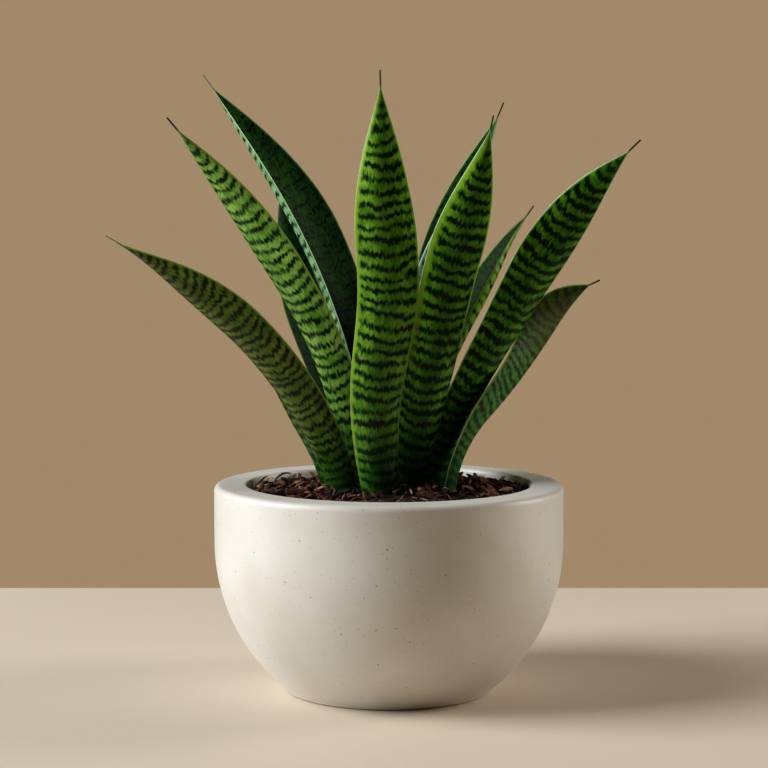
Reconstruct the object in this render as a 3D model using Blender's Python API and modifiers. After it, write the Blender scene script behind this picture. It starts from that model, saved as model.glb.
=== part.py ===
"""Snake plant in a thick-walled bowl planter.

Frame: metres, +Z up, the origin at the centre of the planter's flat underside, the front towards -Y.
The planter stands on Z = 0. Inside it lie the potting mix, with the rhizome and its roots set into
it, and a bed of bark mulch with loose bark chips on top. Twelve blades rise from the rhizome.
"""

import math
from dataclasses import dataclass

import bmesh
import bpy
import numpy as np
from mathutils import Matrix

# Planter
RIM_RADIUS = 0.140
RIM_HEIGHT = 0.166
COLLAR_HEIGHT = 0.046
FOOT_RADIUS = 0.082
WALL = 0.027
FLOOR = 0.026
RIM_OUTER_ROUND = 0.005
RIM_INNER_ROUND = 0.003
FOOT_ROUND = 0.002
PLANTER_SEGMENTS = 48
BORE_SHARES = (0, 0.03, 0.1, 0.22, 0.4, 0.6, 0.8, 1)  # of the way from the floor to the collar
OUTSIDE_SHARES = (1, 0.85, 0.7, 0.55, 0.42, 0.3, 0.2, 0.12, 0.06)  # of the collar's height
DRAIN_RADIUS = 0.006
DRAIN_CIRCLE_RADIUS = 0.030
DRAIN_COUNT = 3
DRAIN_SEGMENTS = 24
DRAIN_TURN = 0.29  # of the angle between two drains

# Fill
FIT_GAP = 0.0003
MULCH_DROP = 0.008
MULCH_DEPTH = 0.012
MULCH_MOUND = 0.003
MULCH_LUMP = 0.0008
MULCH_RINGS = 10
MOUND_SPREAD = 0.055
LUMP_WAVES = (150, 140, 110)  # radians per metre, along X, along Y and along the diagonal

# Rhizome: a creeping stem along X that widens into three crowns, each (x, y, half its width)
RHIZOME_HALF_WIDTH = 0.012
RHIZOME_DEPTH = 0.015
RHIZOME_SEAT = 0.002  # its sides stand upright for this much before they round under
RHIZOME_END_SHARE = 0.25
CROWN_DEEPENING = 0.3
RHIZOME_ENDS = (-0.062, 0.064)
CROWN_SPREAD = 0.011
CROWNS = ((-0.030, 0.008, 0.026), (0.004, 0.003, 0.034), (0.036, 0.008, 0.026))
ROOT_RADIUS = 0.002
ROOT_GAP = 0.0006
ROOT_DROP = 0.070
ROOT_REACH = 0.030
ROOT_SWAY = 0.003
ROOTS = ((-0.050, -0.6), (-0.030, 0.9), (-0.006, -0.9), (0.012, 1.0), (0.034, -0.7), (0.052, 0.6))

# Bark chips on the mulch
CHIP_COUNT = 13
CHIP_SIZE = (0.012, 0.008, 0.005)
CHIP_CORNERS = 14
CHIP_FILL = (0.4, 0.52)  # how far the corners reach, as shares of the size
CHIP_TILT = 0.35
CHIP_SPACING = 1.15  # of a chip's length
CHIP_SEED = 11
GOLDEN_SHARE = 0.618034
GOLDEN_ANGLE = 2.399963
SPIRAL_STEPS = 800
CLEAR_WAY = 0.050
STEM_ROOM = 0.030  # a chip keeps clear of the leaves up to this height above the mulch

# Blades
BLADE_STATIONS = 22
STATION_CROWDING = 1.35  # above 1, the sections stand closer together towards the tip
SECTION_STEPS = 97
BLADE_FACE_POINTS = 5
FOOT_THICKNESS = 0.0046
TIP_THICKNESS = 0.0012
SPUR_WIDTH = 0.0013
SPUR_START = 0.965  # of the length
TAPER = (1.8, 1.1)  # the powers that shape the fall from the widest place to the spur
ROLL_START = 0.3  # of the half width
FOOT_LEVELLING = 0.16
SLOT_GAP = 0.0008
SLOT_STATIONS = 10
SLOT_REACH = 0.4  # of the leaf's length

# Heights that follow from the values above
COLLAR_FOOT = RIM_HEIGHT - COLLAR_HEIGHT
MULCH_TOP = RIM_HEIGHT - MULCH_DROP
MIX_TOP = MULCH_TOP - MULCH_DEPTH
FOOT_LEVEL = MIX_TOP + FIT_GAP


@dataclass(frozen=True)
class Blade:
    """One leaf. The route holds points of its midrib, foot first, with heights above its foot.

    face is where the outer face looks at each of those points: an azimuth in degrees, 0 to the
    front (-Y), 90 to the right (+X), 180 to the back. cup is the turn in degrees between the two
    margins at the foot, the middle and the tip. left_roll and right_roll turn a margin further
    towards the inner face, in degrees, at the foot, the middle and the tip. Left and right are
    as the outer face is seen.
    """

    name: str
    route: tuple
    face: tuple
    width: float
    cup: tuple = (100, 60, 70)
    foot_share: float = 0.68
    widest: float = 0.58
    left_roll: tuple = (0, 0, 0)
    right_roll: tuple = (0, 0, 0)


BLADES = (
    Blade("leaf_front_centre",
          ((-0.004, -0.026, 0.000), (-0.010, -0.034, 0.094), (-0.001, -0.039, 0.169),
           (-0.004, -0.042, 0.239), (-0.006, -0.044, 0.294), (-0.007, -0.045, 0.345)),
          (4, 2, 0, 0, 0, 0), 0.051, foot_share=0.62, widest=0.62),
    Blade("leaf_far_left",
          ((-0.036, -0.012, 0.000), (-0.048, -0.018, 0.041), (-0.073, -0.028, 0.091),
           (-0.115, -0.045, 0.145), (-0.165, -0.060, 0.186), (-0.216, -0.072, 0.218)),
          (-30, -35, -38, -44, -52, -75), 0.045),
    Blade("leaf_upper_left",
          ((-0.025, 0.006, 0.000), (-0.036, -0.002, 0.066), (-0.053, -0.012, 0.126),
           (-0.085, -0.030, 0.190), (-0.128, -0.052, 0.256), (-0.168, -0.074, 0.307)),
          (-35, -42, -46, -46, -40, -30), 0.047, foot_share=0.62),
    Blade("leaf_tall_left",
          ((-0.013, 0.025, 0.000), (-0.021, 0.032, 0.084), (-0.043, 0.042, 0.164),
           (-0.075, 0.053, 0.235), (-0.113, 0.064, 0.294), (-0.154, 0.076, 0.350)),
          (-120, -122, -125, -128, -130, -135), 0.063, cup=(110, 80, 90), foot_share=0.47,
          right_roll=(-8, 40, 70)),
    Blade("leaf_back_left",
          ((-0.022, 0.043, 0.000), (-0.046, 0.057, 0.089), (-0.075, 0.070, 0.169),
           (-0.092, 0.080, 0.266)),
          (-150, -150, -150, -150), 0.041),
    Blade("leaf_low_left",
          ((-0.047, 0.014, 0.000), (-0.058, 0.012, 0.037), (-0.076, 0.008, 0.071),
           (-0.096, 0.000, 0.104)),
          (-60, -60, -60, -60), 0.036),
    Blade("leaf_young_centre",
          ((0.004, 0.006, 0.000), (0.012, 0.007, 0.069), (0.024, 0.006, 0.149),
           (0.037, 0.005, 0.206), (0.055, 0.004, 0.256)),
          (130, 130, 130, 130, 130), 0.030),
    Blade("leaf_front_right",
          ((0.015, -0.008, 0.000), (0.022, -0.016, 0.049), (0.034, -0.027, 0.113),
           (0.050, -0.036, 0.195), (0.069, -0.046, 0.261), (0.080, -0.050, 0.310)),
          (15, 15, 15, 10, 5, 0), 0.045, foot_share=0.62, widest=0.66),
    Blade("leaf_back_centre",
          ((0.016, 0.027, 0.000), (0.020, 0.034, 0.067), (0.035, 0.047, 0.149),
           (0.055, 0.058, 0.226), (0.077, 0.068, 0.284), (0.095, 0.074, 0.327)),
          (150, 150, 150, 150, 150, 150), 0.046, foot_share=0.55),
    Blade("leaf_back_right",
          ((0.027, 0.034, 0.000), (0.033, 0.043, 0.058), (0.056, 0.057, 0.128),
           (0.086, 0.068, 0.182), (0.104, 0.076, 0.217), (0.121, 0.082, 0.242)),
          (120, 120, 118, 115, 115, 115), 0.054, cup=(110, 90, 110), foot_share=0.53,
          left_roll=(-12, 45, 10)),
    Blade("leaf_tall_right",
          ((0.037, 0.013, 0.000), (0.053, 0.006, 0.060), (0.083, -0.011, 0.125),
           (0.126, -0.032, 0.206), (0.159, -0.048, 0.256), (0.192, -0.060, 0.291)),
          (45, 45, 45, 32, 15, 5), 0.051, foot_share=0.60, widest=0.62),
    Blade("leaf_far_right",
          ((0.049, -0.009, 0.000), (0.0555, -0.009, 0.034), (0.0715, -0.003, 0.066),
           (0.098, 0.016, 0.099), (0.119, 0.032, 0.131), (0.140, 0.041, 0.162),
           (0.173, 0.046, 0.181)),
          (82, 82, 80, 74, 56, 38, 30), 0.041, widest=0.70),
)


def spline(knots, values, at):
    """A natural cubic through the values at the knots, read at the places in at."""
    knots, values, at = (np.asarray(a, float) for a in (knots, values, at))
    steps = np.diff(knots)
    count = len(knots)
    system, slopes = np.eye(count), np.zeros((count,) + values.shape[1:])
    for i in range(1, count - 1):
        system[i, i - 1:i + 2] = steps[i - 1], 2 * (steps[i - 1] + steps[i]), steps[i]
        rise = (values[i + 1] - values[i]) / steps[i] - (values[i] - values[i - 1]) / steps[i - 1]
        slopes[i] = 6 * rise
    bend = np.linalg.solve(system, slopes)
    span = np.clip(np.searchsorted(knots, at, side="right") - 1, 0, count - 2)
    widths = steps[span]
    near, far = (knots[span + 1] - at) / widths, (at - knots[span]) / widths
    if values.ndim > 1:
        near, far, widths = near[:, None], far[:, None], widths[:, None]
    curve = ((near**3 - near) * bend[span] + (far**3 - far) * bend[span + 1]) * widths**2 / 6
    return near * values[span] + far * values[span + 1] + curve


def blend3(values, share):
    """Foot, middle and tip values read at each share of the length, along a smooth curve."""
    return spline((0.0, 0.5, 1.0), values, share)


def width_share(blade, share):
    """Width along the blade as a share of its widest: rising from the foot, then down to the spur."""
    rise = np.clip(share / blade.widest, 0, 1)
    lower = blade.foot_share + (1 - blade.foot_share) * np.sin(rise * math.pi / 2)
    fall = np.clip((share - blade.widest) / (SPUR_START - blade.widest), 0, 1)
    shoulder, point = TAPER
    return lower * (1 - fall**shoulder) ** point


def unit(vectors):
    """The vectors at length 1."""
    return vectors / np.linalg.norm(vectors, axis=-1, keepdims=True)


def blade_rings(blade, grow=0.0, stations=BLADE_STATIONS, reach=1.0):
    """Closed sections of the blade, foot first, then the point of its tip.

    A section is integrated from its slope angle, which grows from the midrib to each margin by
    half the cup and by the roll. The outer and the inner surface stand half the thickness off
    that line, and meet at the margins. The lowest sections slide along the blade until the foot
    is level. grow widens and thickens each section by that much.
    """
    route = np.array(blade.route) + (0, 0, FOOT_LEVEL)
    knots = np.concatenate([[0], np.cumsum(np.linalg.norm(np.diff(route, axis=0), axis=1))])
    share = reach * (1 - (1 - np.linspace(0, 1, stations)) ** STATION_CROWDING)
    at = share * knots[-1]
    midrib = spline(knots, route, at)
    tangent = unit(spline(knots, route, at + 1e-4) - spline(knots, route, at - 1e-4))
    azimuth = np.radians(spline(knots, blade.face, at))
    looks = np.stack([np.sin(azimuth), -np.cos(azimuth), np.zeros_like(azimuth)], axis=1)
    outward = unit(looks - np.sum(looks * tangent, axis=1, keepdims=True) * tangent)
    across = np.cross(tangent, outward)

    half = np.maximum(blade.width * width_share(blade, share), SPUR_WIDTH) / 2 + grow
    thick = FOOT_THICKNESS + (TIP_THICKNESS - FOOT_THICKNESS) * share**0.8
    thick = np.minimum(thick, 2 * half) + 2 * grow
    cup, left, right = (
        np.radians(blend3(turns, share)) for turns in (blade.cup, blade.left_roll, blade.right_roll)
    )
    fine = np.linspace(-1, 1, SECTION_STEPS)
    edge = np.clip((np.abs(fine) - ROLL_START) / (1 - ROLL_START), 0, 1) ** 1.5
    roll = np.where(fine < 0, left[:, None], right[:, None]) * edge
    slope = cup[:, None] / 2 * fine + roll * np.sign(fine)
    step = fine[1] - fine[0]
    mean_slope = (slope[:, 1:] + slope[:, :-1]) / 2
    start = np.zeros((stations, 1))
    side = np.concatenate([start, np.cumsum(np.cos(mean_slope) * step, axis=1)], axis=1)
    dip = np.concatenate([start, np.cumsum(np.sin(mean_slope) * step, axis=1)], axis=1)
    middle = len(fine) // 2
    side, dip = side - side[:, middle:middle + 1], dip - dip[:, middle:middle + 1]

    picks = np.linspace(0, len(fine) - 1, BLADE_FACE_POINTS + 2).round().astype(int)
    u = fine[picks]
    side, dip, slope = side[:, picks], dip[:, picks], slope[:, picks]
    lens = thick[:, None] / 2 * np.sqrt(1 - u**2)

    def surface(sign, columns):
        along_across = side * half[:, None] + sign * lens * np.sin(slope)
        along_outward = -dip * half[:, None] + sign * lens * np.cos(slope)
        points = (midrib[:, None, :] + along_across[..., None] * across[:, None, :]
                  + along_outward[..., None] * outward[:, None, :])
        return points[:, columns]

    outer = surface(1, slice(None))
    inner = surface(-1, slice(BLADE_FACE_POINTS, 0, -1))
    rings = np.concatenate([outer, inner], axis=1)
    rise = midrib[:, None, 2] - rings[..., 2]
    slide = np.clip(1 - share / FOOT_LEVELLING, 0, 1) / tangent[:, 2]
    return rings + (rise * slide[:, None])[..., None] * tangent[:, None, :], route[-1]


def outer_radius(z):
    """The bowl outside: one arc from the foot that meets the upright collar without a corner."""
    spread = RIM_RADIUS - FOOT_RADIUS
    arc = (spread**2 + COLLAR_FOOT**2) / (2 * spread)
    below = max(COLLAR_FOOT - z, 0.0)
    return RIM_RADIUS - arc + math.sqrt(arc**2 - below**2)


def inner_radius(z):
    """The bowl inside, the wall's thickness from the same arc."""
    spread = RIM_RADIUS - FOOT_RADIUS
    arc = (spread**2 + COLLAR_FOOT**2) / (2 * spread)
    below = max(COLLAR_FOOT - z, 0.0)
    return RIM_RADIUS - arc + math.sqrt((arc - WALL) ** 2 - below**2)


def mulch_height(x, y):
    """The top of the mulch bed: a low mound around the leaves, with shallow waves."""
    along_x, along_y, diagonal = LUMP_WAVES
    mound = MULCH_MOUND * np.exp(-(x**2 + y**2) / MOUND_SPREAD**2)
    waves = np.sin(along_x * x + 0.7) * np.sin(along_y * y) + np.sin(diagonal * (x - y))
    return MULCH_TOP + mound + MULCH_LUMP / 2 * waves


def quarter(radius, z, size, start):
    """Points of a rounded edge: a quarter turn of the given size about (radius, z)."""
    turns = [start + math.pi / 2 * i / 3 for i in range(4)]
    return [(radius + size * math.cos(turn), z + size * math.sin(turn)) for turn in turns]


def bore_heights():
    """The heights of the bowl's inner profile points, which the mix shares so that it fits."""
    return [FLOOR + (COLLAR_FOOT - FLOOR) * share for share in BORE_SHARES]


def planter_profile():
    """From the axis along the inner floor, up the inside, over the rim, down to the foot and back."""
    inside = bore_heights()
    outside = [COLLAR_FOOT * share for share in OUTSIDE_SHARES]
    bore = RIM_RADIUS - WALL
    profile = [(0.0, FLOOR)] + [(inner_radius(z), z) for z in inside]
    inner_round, outer_round = RIM_INNER_ROUND, RIM_OUTER_ROUND
    profile += quarter(bore + inner_round, RIM_HEIGHT - inner_round, inner_round, math.pi / 2)[::-1]
    profile += quarter(RIM_RADIUS - outer_round, RIM_HEIGHT - outer_round, outer_round, 0)[::-1]
    profile += [(outer_radius(z), z) for z in outside]
    profile += [(outer_radius(FOOT_ROUND), FOOT_ROUND), (FOOT_RADIUS - FOOT_ROUND, 0.0), (0.0, 0.0)]
    return profile


def mix_profile():
    """From the axis across the top of the mix, down the inside of the bowl and back."""
    low = FLOOR + FIT_GAP
    heights = [MIX_TOP, *bore_heights()[:0:-1], low]
    return [(0.0, MIX_TOP)] + [(inner_radius(z) - FIT_GAP, z) for z in heights] + [(0.0, low)]


def add_object(name, data, collection, colour=None, roughness=0.6):
    """An object with its own Principled material, linked to the collection."""
    item = bpy.data.objects.new(name, data)
    collection.objects.link(item)
    if colour is not None:
        finish = bpy.data.materials.new(name)
        finish.use_nodes = True
        shader = finish.node_tree.nodes["Principled BSDF"]
        shader.inputs["Base Color"].default_value = (*colour, 1.0)
        shader.inputs["Roughness"].default_value = roughness
        finish.diffuse_color = (*colour, 1.0)
        data.materials.append(finish)
    return item


def mesh_of(name, points, faces):
    """A closed mesh of faces that all run the same way round, turned outward."""
    mesh = bpy.data.meshes.new(name)
    mesh.from_pydata([tuple(point) for point in points], [], faces)
    shape = bmesh.new()
    shape.from_mesh(mesh)
    if shape.calc_volume(signed=True) < 0:
        bmesh.ops.reverse_faces(shape, faces=shape.faces)
    shape.to_mesh(mesh)
    shape.free()
    mesh.shade_smooth()
    mesh.set_sharp_from_angle(angle=math.radians(50))
    return mesh


def turned(name, profile, collection, colour, roughness):
    """A body of revolution from its half profile."""
    mesh = bpy.data.meshes.new(name)
    edges = [(i, i + 1) for i in range(len(profile) - 1)]
    mesh.from_pydata([(radius, 0.0, z) for radius, z in profile], edges, [])
    item = add_object(name, mesh, collection, colour, roughness)
    screw = item.modifiers.new("Turn", "SCREW")
    screw.steps = screw.render_steps = PLANTER_SEGMENTS
    screw.use_merge_vertices = True
    screw.merge_threshold = 0.00001
    return item


def cut(item, cutters):
    """Takes each cutter's shape out of the item."""
    for cutter in cutters:
        boolean = item.modifiers.new(cutter.name, "BOOLEAN")
        boolean.operation = "DIFFERENCE"
        boolean.solver = "EXACT"
        boolean.object = cutter


def as_cutter(item):
    """Marks a helper shape, which is not part of the object."""
    item.hide_render = True
    item.display_type = "WIRE"
    return item


def skin(rings, start, end):
    """Faces over closed rings of equal length: quads along the sides, fans to the two end points."""
    stations, around = rings.shape[:2]
    points = [*rings.reshape(-1, 3), start, end]
    first, last = stations * around, stations * around + 1
    faces = []
    for j in range(around):
        after = (j + 1) % around
        for i in range(stations - 1):
            low, high = i * around, (i + 1) * around
            faces.append((low + j, low + after, high + after, high + j))
        top = (stations - 1) * around
        faces.append((top + j, top + after, last))
        faces.append((after, j, first))
    return points, faces


def add_blade(blade, collection, colour):
    """A leaf, closed by a flat foot and by the point of its tip."""
    rings, tip = blade_rings(blade)
    stations, around = rings.shape[:2]
    points, faces = skin(rings, rings[0].mean(axis=0), tip)
    faces = [face for face in faces if stations * around not in face]
    for j in range(BLADE_FACE_POINTS + 1):
        opposite = (around - j) % around
        faces.append(tuple(dict.fromkeys((opposite, around - j - 1, j + 1, j))))
    used = [i for i in range(len(points)) if i != stations * around]
    renamed = {old: new for new, old in enumerate(used)}
    faces = [tuple(renamed[i] for i in face) for face in faces]
    mesh = mesh_of(blade.name, [points[i] for i in used], faces)
    return add_object(blade.name, mesh, collection, colour, 0.35)


def add_slot(blade, collection):
    """The room that a leaf's foot takes in the mulch."""
    rings, _ = blade_rings(blade, SLOT_GAP, stations=SLOT_STATIONS, reach=SLOT_REACH)
    below = rings[:1] - (0, 0, MULCH_DEPTH / 2)
    rings = np.concatenate([below, rings])
    points, faces = skin(rings, rings[0].mean(axis=0), rings[-1].mean(axis=0))
    name = "slot_" + blade.name
    return as_cutter(add_object(name, mesh_of(name, points, faces), collection))


def add_mulch(collection):
    """The bark mulch bed: rings of points from the axis to the bowl, on top and below."""
    low, edge = FOOT_LEVEL, inner_radius(MULCH_TOP) - FIT_GAP
    around = PLANTER_SEGMENTS
    turn = np.arange(around) * 2 * math.pi / around
    reach = edge * np.arange(1, MULCH_RINGS + 1) / MULCH_RINGS
    x, y = reach[:, None] * np.cos(turn), reach[:, None] * np.sin(turn)
    top = np.stack([x, y, mulch_height(x, y)], axis=-1)
    base = np.stack([x[-1], y[-1], np.full(around, low)], axis=-1)
    rings = np.concatenate([top, base[None]])
    points, faces = skin(rings, (0, 0, float(mulch_height(0, 0))), (0, 0, low))
    mesh = mesh_of("bark_mulch", points, faces)
    return add_object("bark_mulch", mesh, collection, (0.12, 0.05, 0.03), 0.9)


def rhizome_section(x):
    """Centre across, half width and depth of the rhizome at one place along X."""
    near = [math.exp(-(((x - crown[0]) / CROWN_SPREAD) ** 2) / 2) for crown in CROWNS]
    half = RHIZOME_HALF_WIDTH + max(
        (crown[2] - RHIZOME_HALF_WIDTH) * share for crown, share in zip(CROWNS, near)
    )
    centre = sum(crown[1] * share for crown, share in zip(CROWNS, near)) / (sum(near) + 0.1)
    return centre, half, RHIZOME_DEPTH * (1 + CROWN_DEEPENING * max(near))


def add_rhizome(name, collection, gap=0.0, colour=None):
    """The rhizome, flat where it meets the leaves, or the pocket that holds it when gap is set."""
    start, end = RHIZOME_ENDS
    top = MIX_TOP + (MULCH_DEPTH / 2 if gap else 0.0)
    rings = []
    for share in np.linspace(0, 1, 18):
        x = start + (end - start) * share + gap * (2 * share - 1)
        centre, half, depth = rhizome_section(x)
        ends = RHIZOME_END_SHARE + (1 - RHIZOME_END_SHARE) * math.sqrt(1 - (2 * share - 1) ** 4)
        half, depth = half * ends + gap, depth * ends + gap
        ring = [(x, centre + half, top), (x, centre, top), (x, centre - half, top)]
        for turn in np.linspace(math.pi, 2 * math.pi, 7):
            below = MIX_TOP - RHIZOME_SEAT + depth * math.sin(turn)
            ring.append((x, centre + half * math.cos(turn), below))
        rings.append(ring)
    rings = np.array(rings)
    points, faces = skin(rings, rings[0].mean(axis=0), rings[-1].mean(axis=0))
    return add_object(name, mesh_of(name, points, faces), collection, colour, 0.7)


def root_points(x, lean, start_gap):
    """A root's route: it leaves the rhizome's underside and curves down and outward."""
    centre, _, depth = rhizome_section(x)
    top = MIX_TOP - RHIZOME_SEAT - depth - start_gap
    points = []
    for share in np.linspace(0, 1, 9):
        out = lean * ROOT_REACH * share**1.5
        sway = ROOT_SWAY * math.sin(7 * share + 40 * x) * share
        points.append((x + 0.4 * x * share + sway, centre + out - sway, top - ROOT_DROP * share))
    return points


def add_tube(name, points, radius, collection, colour=None):
    """A round tube with closed ends along the points."""
    curve = bpy.data.curves.new(name, "CURVE")
    curve.dimensions = "3D"
    curve.bevel_depth = radius
    curve.bevel_resolution = 2
    curve.use_fill_caps = True
    line = curve.splines.new("POLY")
    line.points.add(len(points) - 1)
    for place, point in zip(line.points, points):
        place.co = (*point, 1.0)
    return add_object(name, curve, collection, colour, 0.7)


def add_tunnel(name, points, radius, collection):
    """A tube turned into a mesh, which a Boolean can use."""
    guide = add_tube(name + "_guide", points, radius, collection)
    bpy.context.view_layer.update()
    ready = guide.evaluated_get(bpy.context.evaluated_depsgraph_get())
    mesh = bpy.data.meshes.new_from_object(ready)
    shape = bmesh.new()
    shape.from_mesh(mesh)
    bmesh.ops.remove_doubles(shape, verts=shape.verts, dist=0.00001)
    bmesh.ops.recalc_face_normals(shape, faces=shape.faces)
    shape.to_mesh(mesh)
    shape.free()
    bpy.data.objects.remove(guide)
    return as_cutter(add_object(name, mesh, collection))


def chip_sites(taken):
    """Places for the chips: a golden-angle spiral, clear of the leaves and of the way to the soil."""
    inner, outer = CLEAR_WAY + CHIP_SIZE[0] / 2, inner_radius(MULCH_TOP) - CHIP_SIZE[0]
    sites = []
    for i in range(SPIRAL_STEPS):
        reach = inner + (outer - inner) * ((i * GOLDEN_SHARE) % 1)
        turn = i * GOLDEN_ANGLE
        site = np.array([reach * math.cos(turn), reach * math.sin(turn)])
        if abs(site[0]) < CLEAR_WAY:
            continue
        if np.linalg.norm(taken - site, axis=1).min() < CHIP_SIZE[0]:
            continue
        if all(np.linalg.norm(site - other) > CHIP_SPACING * CHIP_SIZE[0] for other in sites):
            sites.append(site)
        if len(sites) == CHIP_COUNT:
            break
    return sites


def add_chip(name, site, rng, collection):
    """A nugget of bark: the hull of a few points in a flat box, lying on the mulch."""
    ways = unit(rng.uniform(-0.5, 0.5, (CHIP_CORNERS, 3)))
    corners = ways * np.array(CHIP_SIZE) * rng.uniform(*CHIP_FILL, (CHIP_CORNERS, 1))
    turn, tilt = rng.uniform(0, 2 * math.pi), rng.uniform(-CHIP_TILT, CHIP_TILT)
    lean = Matrix.Rotation(turn, 3, "Z") @ Matrix.Rotation(tilt, 3, "Y")
    corners = corners @ np.array(lean).T
    middles = (corners[:, None] + corners[None, :]).reshape(-1, 3) / 2
    ground = mulch_height(middles[:, 0] + site[0], middles[:, 1] + site[1])
    lift = (ground - middles[:, 2]).max() + FIT_GAP
    shape = bmesh.new()
    for corner in corners:
        shape.verts.new((corner[0] + site[0], corner[1] + site[1], corner[2] + lift))
    found = bmesh.ops.convex_hull(shape, input=shape.verts)
    inside = [item for item in found["geom_interior"] if isinstance(item, bmesh.types.BMVert)]
    bmesh.ops.delete(shape, geom=inside, context="VERTS")
    bmesh.ops.recalc_face_normals(shape, faces=shape.faces)
    mesh = bpy.data.meshes.new(name)
    shape.to_mesh(mesh)
    shape.free()
    return add_object(name, mesh, collection, (0.20, 0.08, 0.04), 0.85)


def new_collection(name):
    """A collection in the scene."""
    collection = bpy.data.collections.new(name)
    bpy.context.scene.collection.children.link(collection)
    return collection


def main():
    """Builds the whole object in an empty scene."""
    for item in list(bpy.data.objects):
        bpy.data.objects.remove(item, do_unlink=True)
    plant = new_collection("potted_snake_plant")
    helpers = new_collection("helpers")
    helpers.hide_render = True

    planter = turned("planter", planter_profile(), plant, (0.62, 0.58, 0.52), 0.5)
    drains = []
    for i in range(DRAIN_COUNT):
        turn = 2 * math.pi * (i + DRAIN_TURN) / DRAIN_COUNT
        centre = DRAIN_CIRCLE_RADIUS * math.cos(turn), DRAIN_CIRCLE_RADIUS * math.sin(turn), FLOOR / 2
        bpy.ops.mesh.primitive_cylinder_add(
            vertices=DRAIN_SEGMENTS, radius=DRAIN_RADIUS, depth=2 * FLOOR, location=centre
        )
        drain = as_cutter(bpy.context.object)
        drain.name = f"drain_{i + 1}"
        for owner in list(drain.users_collection):
            owner.objects.unlink(drain)
        helpers.objects.link(drain)
        drains.append(drain)
    cut(planter, drains)

    mix = turned("potting_mix", mix_profile(), plant, (0.035, 0.022, 0.015), 0.95)
    add_rhizome("rhizome", plant, colour=(0.45, 0.26, 0.12))
    pocket = as_cutter(add_rhizome("rhizome_pocket", helpers, gap=ROOT_GAP))
    tunnels = []
    for i, (x, lean) in enumerate(ROOTS):
        way = np.array(root_points(x, lean, ROOT_GAP))
        add_tube(f"root_{i + 1}", way, ROOT_RADIUS, plant, (0.60, 0.45, 0.28))
        above = way[0] + (0, 0, RHIZOME_DEPTH / 2)
        beyond = way[-1] + unit(way[-1] - way[-2]) * 2 * ROOT_GAP
        way = [above, *way, beyond]
        tunnels.append(add_tunnel(f"tunnel_{i + 1}", way, ROOT_RADIUS + ROOT_GAP, helpers))
    cut(mix, [pocket, *tunnels])

    greens = ((0.10, 0.28, 0.05), (0.16, 0.24, 0.07), (0.12, 0.32, 0.07), (0.05, 0.17, 0.06))
    mulch = add_mulch(plant)
    slots, taken = [], []
    for i, blade in enumerate(BLADES):
        leaf = add_blade(blade, plant, greens[i % len(greens)])
        slots.append(add_slot(blade, helpers))
        taken += [point.co[:2] for point in leaf.data.vertices if point.co.z < MULCH_TOP + STEM_ROOM]
    cut(mulch, slots)

    rng = np.random.default_rng(CHIP_SEED)
    for i, site in enumerate(chip_sites(np.array(taken))):
        add_chip(f"bark_chip_{i + 1:02d}", site, rng, plant)


if __name__ == "__main__":
    main()
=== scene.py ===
"""Looks for a snake plant in a cast bowl planter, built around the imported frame.

Frame: metres, +Z up, the origin at the centre of the planter's underside, the front towards -Y.
The planter and the twelve leaves are rebuilt as fine surfaces from the same sizes as the solids, the
bark bed is covered with shredded bark, and the hidden mix, rhizome and roots keep their solids.
"""

import logging
import math
from dataclasses import dataclass, field
from enum import Enum

import bmesh
import bpy
import numpy as np
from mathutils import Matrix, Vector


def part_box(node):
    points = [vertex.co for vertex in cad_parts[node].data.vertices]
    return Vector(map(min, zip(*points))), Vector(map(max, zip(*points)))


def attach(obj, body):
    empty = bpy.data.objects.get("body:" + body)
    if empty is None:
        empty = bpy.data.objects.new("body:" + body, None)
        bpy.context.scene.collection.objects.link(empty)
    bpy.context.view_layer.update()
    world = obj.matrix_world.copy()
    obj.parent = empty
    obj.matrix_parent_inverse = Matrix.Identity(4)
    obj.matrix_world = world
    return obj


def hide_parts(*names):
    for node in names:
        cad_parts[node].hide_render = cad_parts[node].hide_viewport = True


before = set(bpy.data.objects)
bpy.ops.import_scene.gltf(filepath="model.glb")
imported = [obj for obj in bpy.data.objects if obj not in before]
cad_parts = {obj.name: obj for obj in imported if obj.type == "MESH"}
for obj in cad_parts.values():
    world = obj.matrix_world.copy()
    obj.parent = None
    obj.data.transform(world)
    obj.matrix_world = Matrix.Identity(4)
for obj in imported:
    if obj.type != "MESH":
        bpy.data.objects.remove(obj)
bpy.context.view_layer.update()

LOG = logging.getLogger("snake_plant")
BODY = "root"

Colour = tuple[float, float, float]
Socket = bpy.types.NodeSocket

# Heights and radii, in metres, that several pieces share
RIM_RADIUS = 0.140
RIM_HEIGHT = 0.166
COLLAR_FOOT = 0.120
FOOT_RADIUS = 0.082
WALL = 0.027
FLOOR = 0.026
MULCH_TOP = 0.158
FOOT_LEVEL = 0.1463

# Angles in degrees past which an edge stays sharp
BOWL_CREASE = 50.0
LEAF_CREASE = 80.0
SHRED_CREASE = 35.0


class Slot(Enum):
    """The record's material slots, listed with each new piece."""

    STONE = "cast_stone"
    BARK = "bark"
    BRIGHT = "leaf_bright"
    DARK = "leaf_dark"
    OLIVE = "leaf_olive"


# ---------------------------------------------------------------- shader graphs


@dataclass(frozen=True)
class Ramp:
    """An eased ramp from 0 at low to share at high. Low may be above high."""

    low: float
    high: float
    share: float = 1.0


@dataclass(frozen=True)
class Spots:
    """Scattered spots: cells per metre, the ramp over a cell's distance, and that over its chance."""

    scale: float
    size: Ramp
    chance: Ramp


@dataclass(frozen=True)
class Grain:
    """Noise stretched over a leaf, with features per metre across and along it.

    shift moves it away from the leaf's other noises, and size is how far it swings about zero.
    """

    across: float
    along: float
    shift: float
    detail: float
    size: float = 0.0
    rough: float = 0.5


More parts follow.
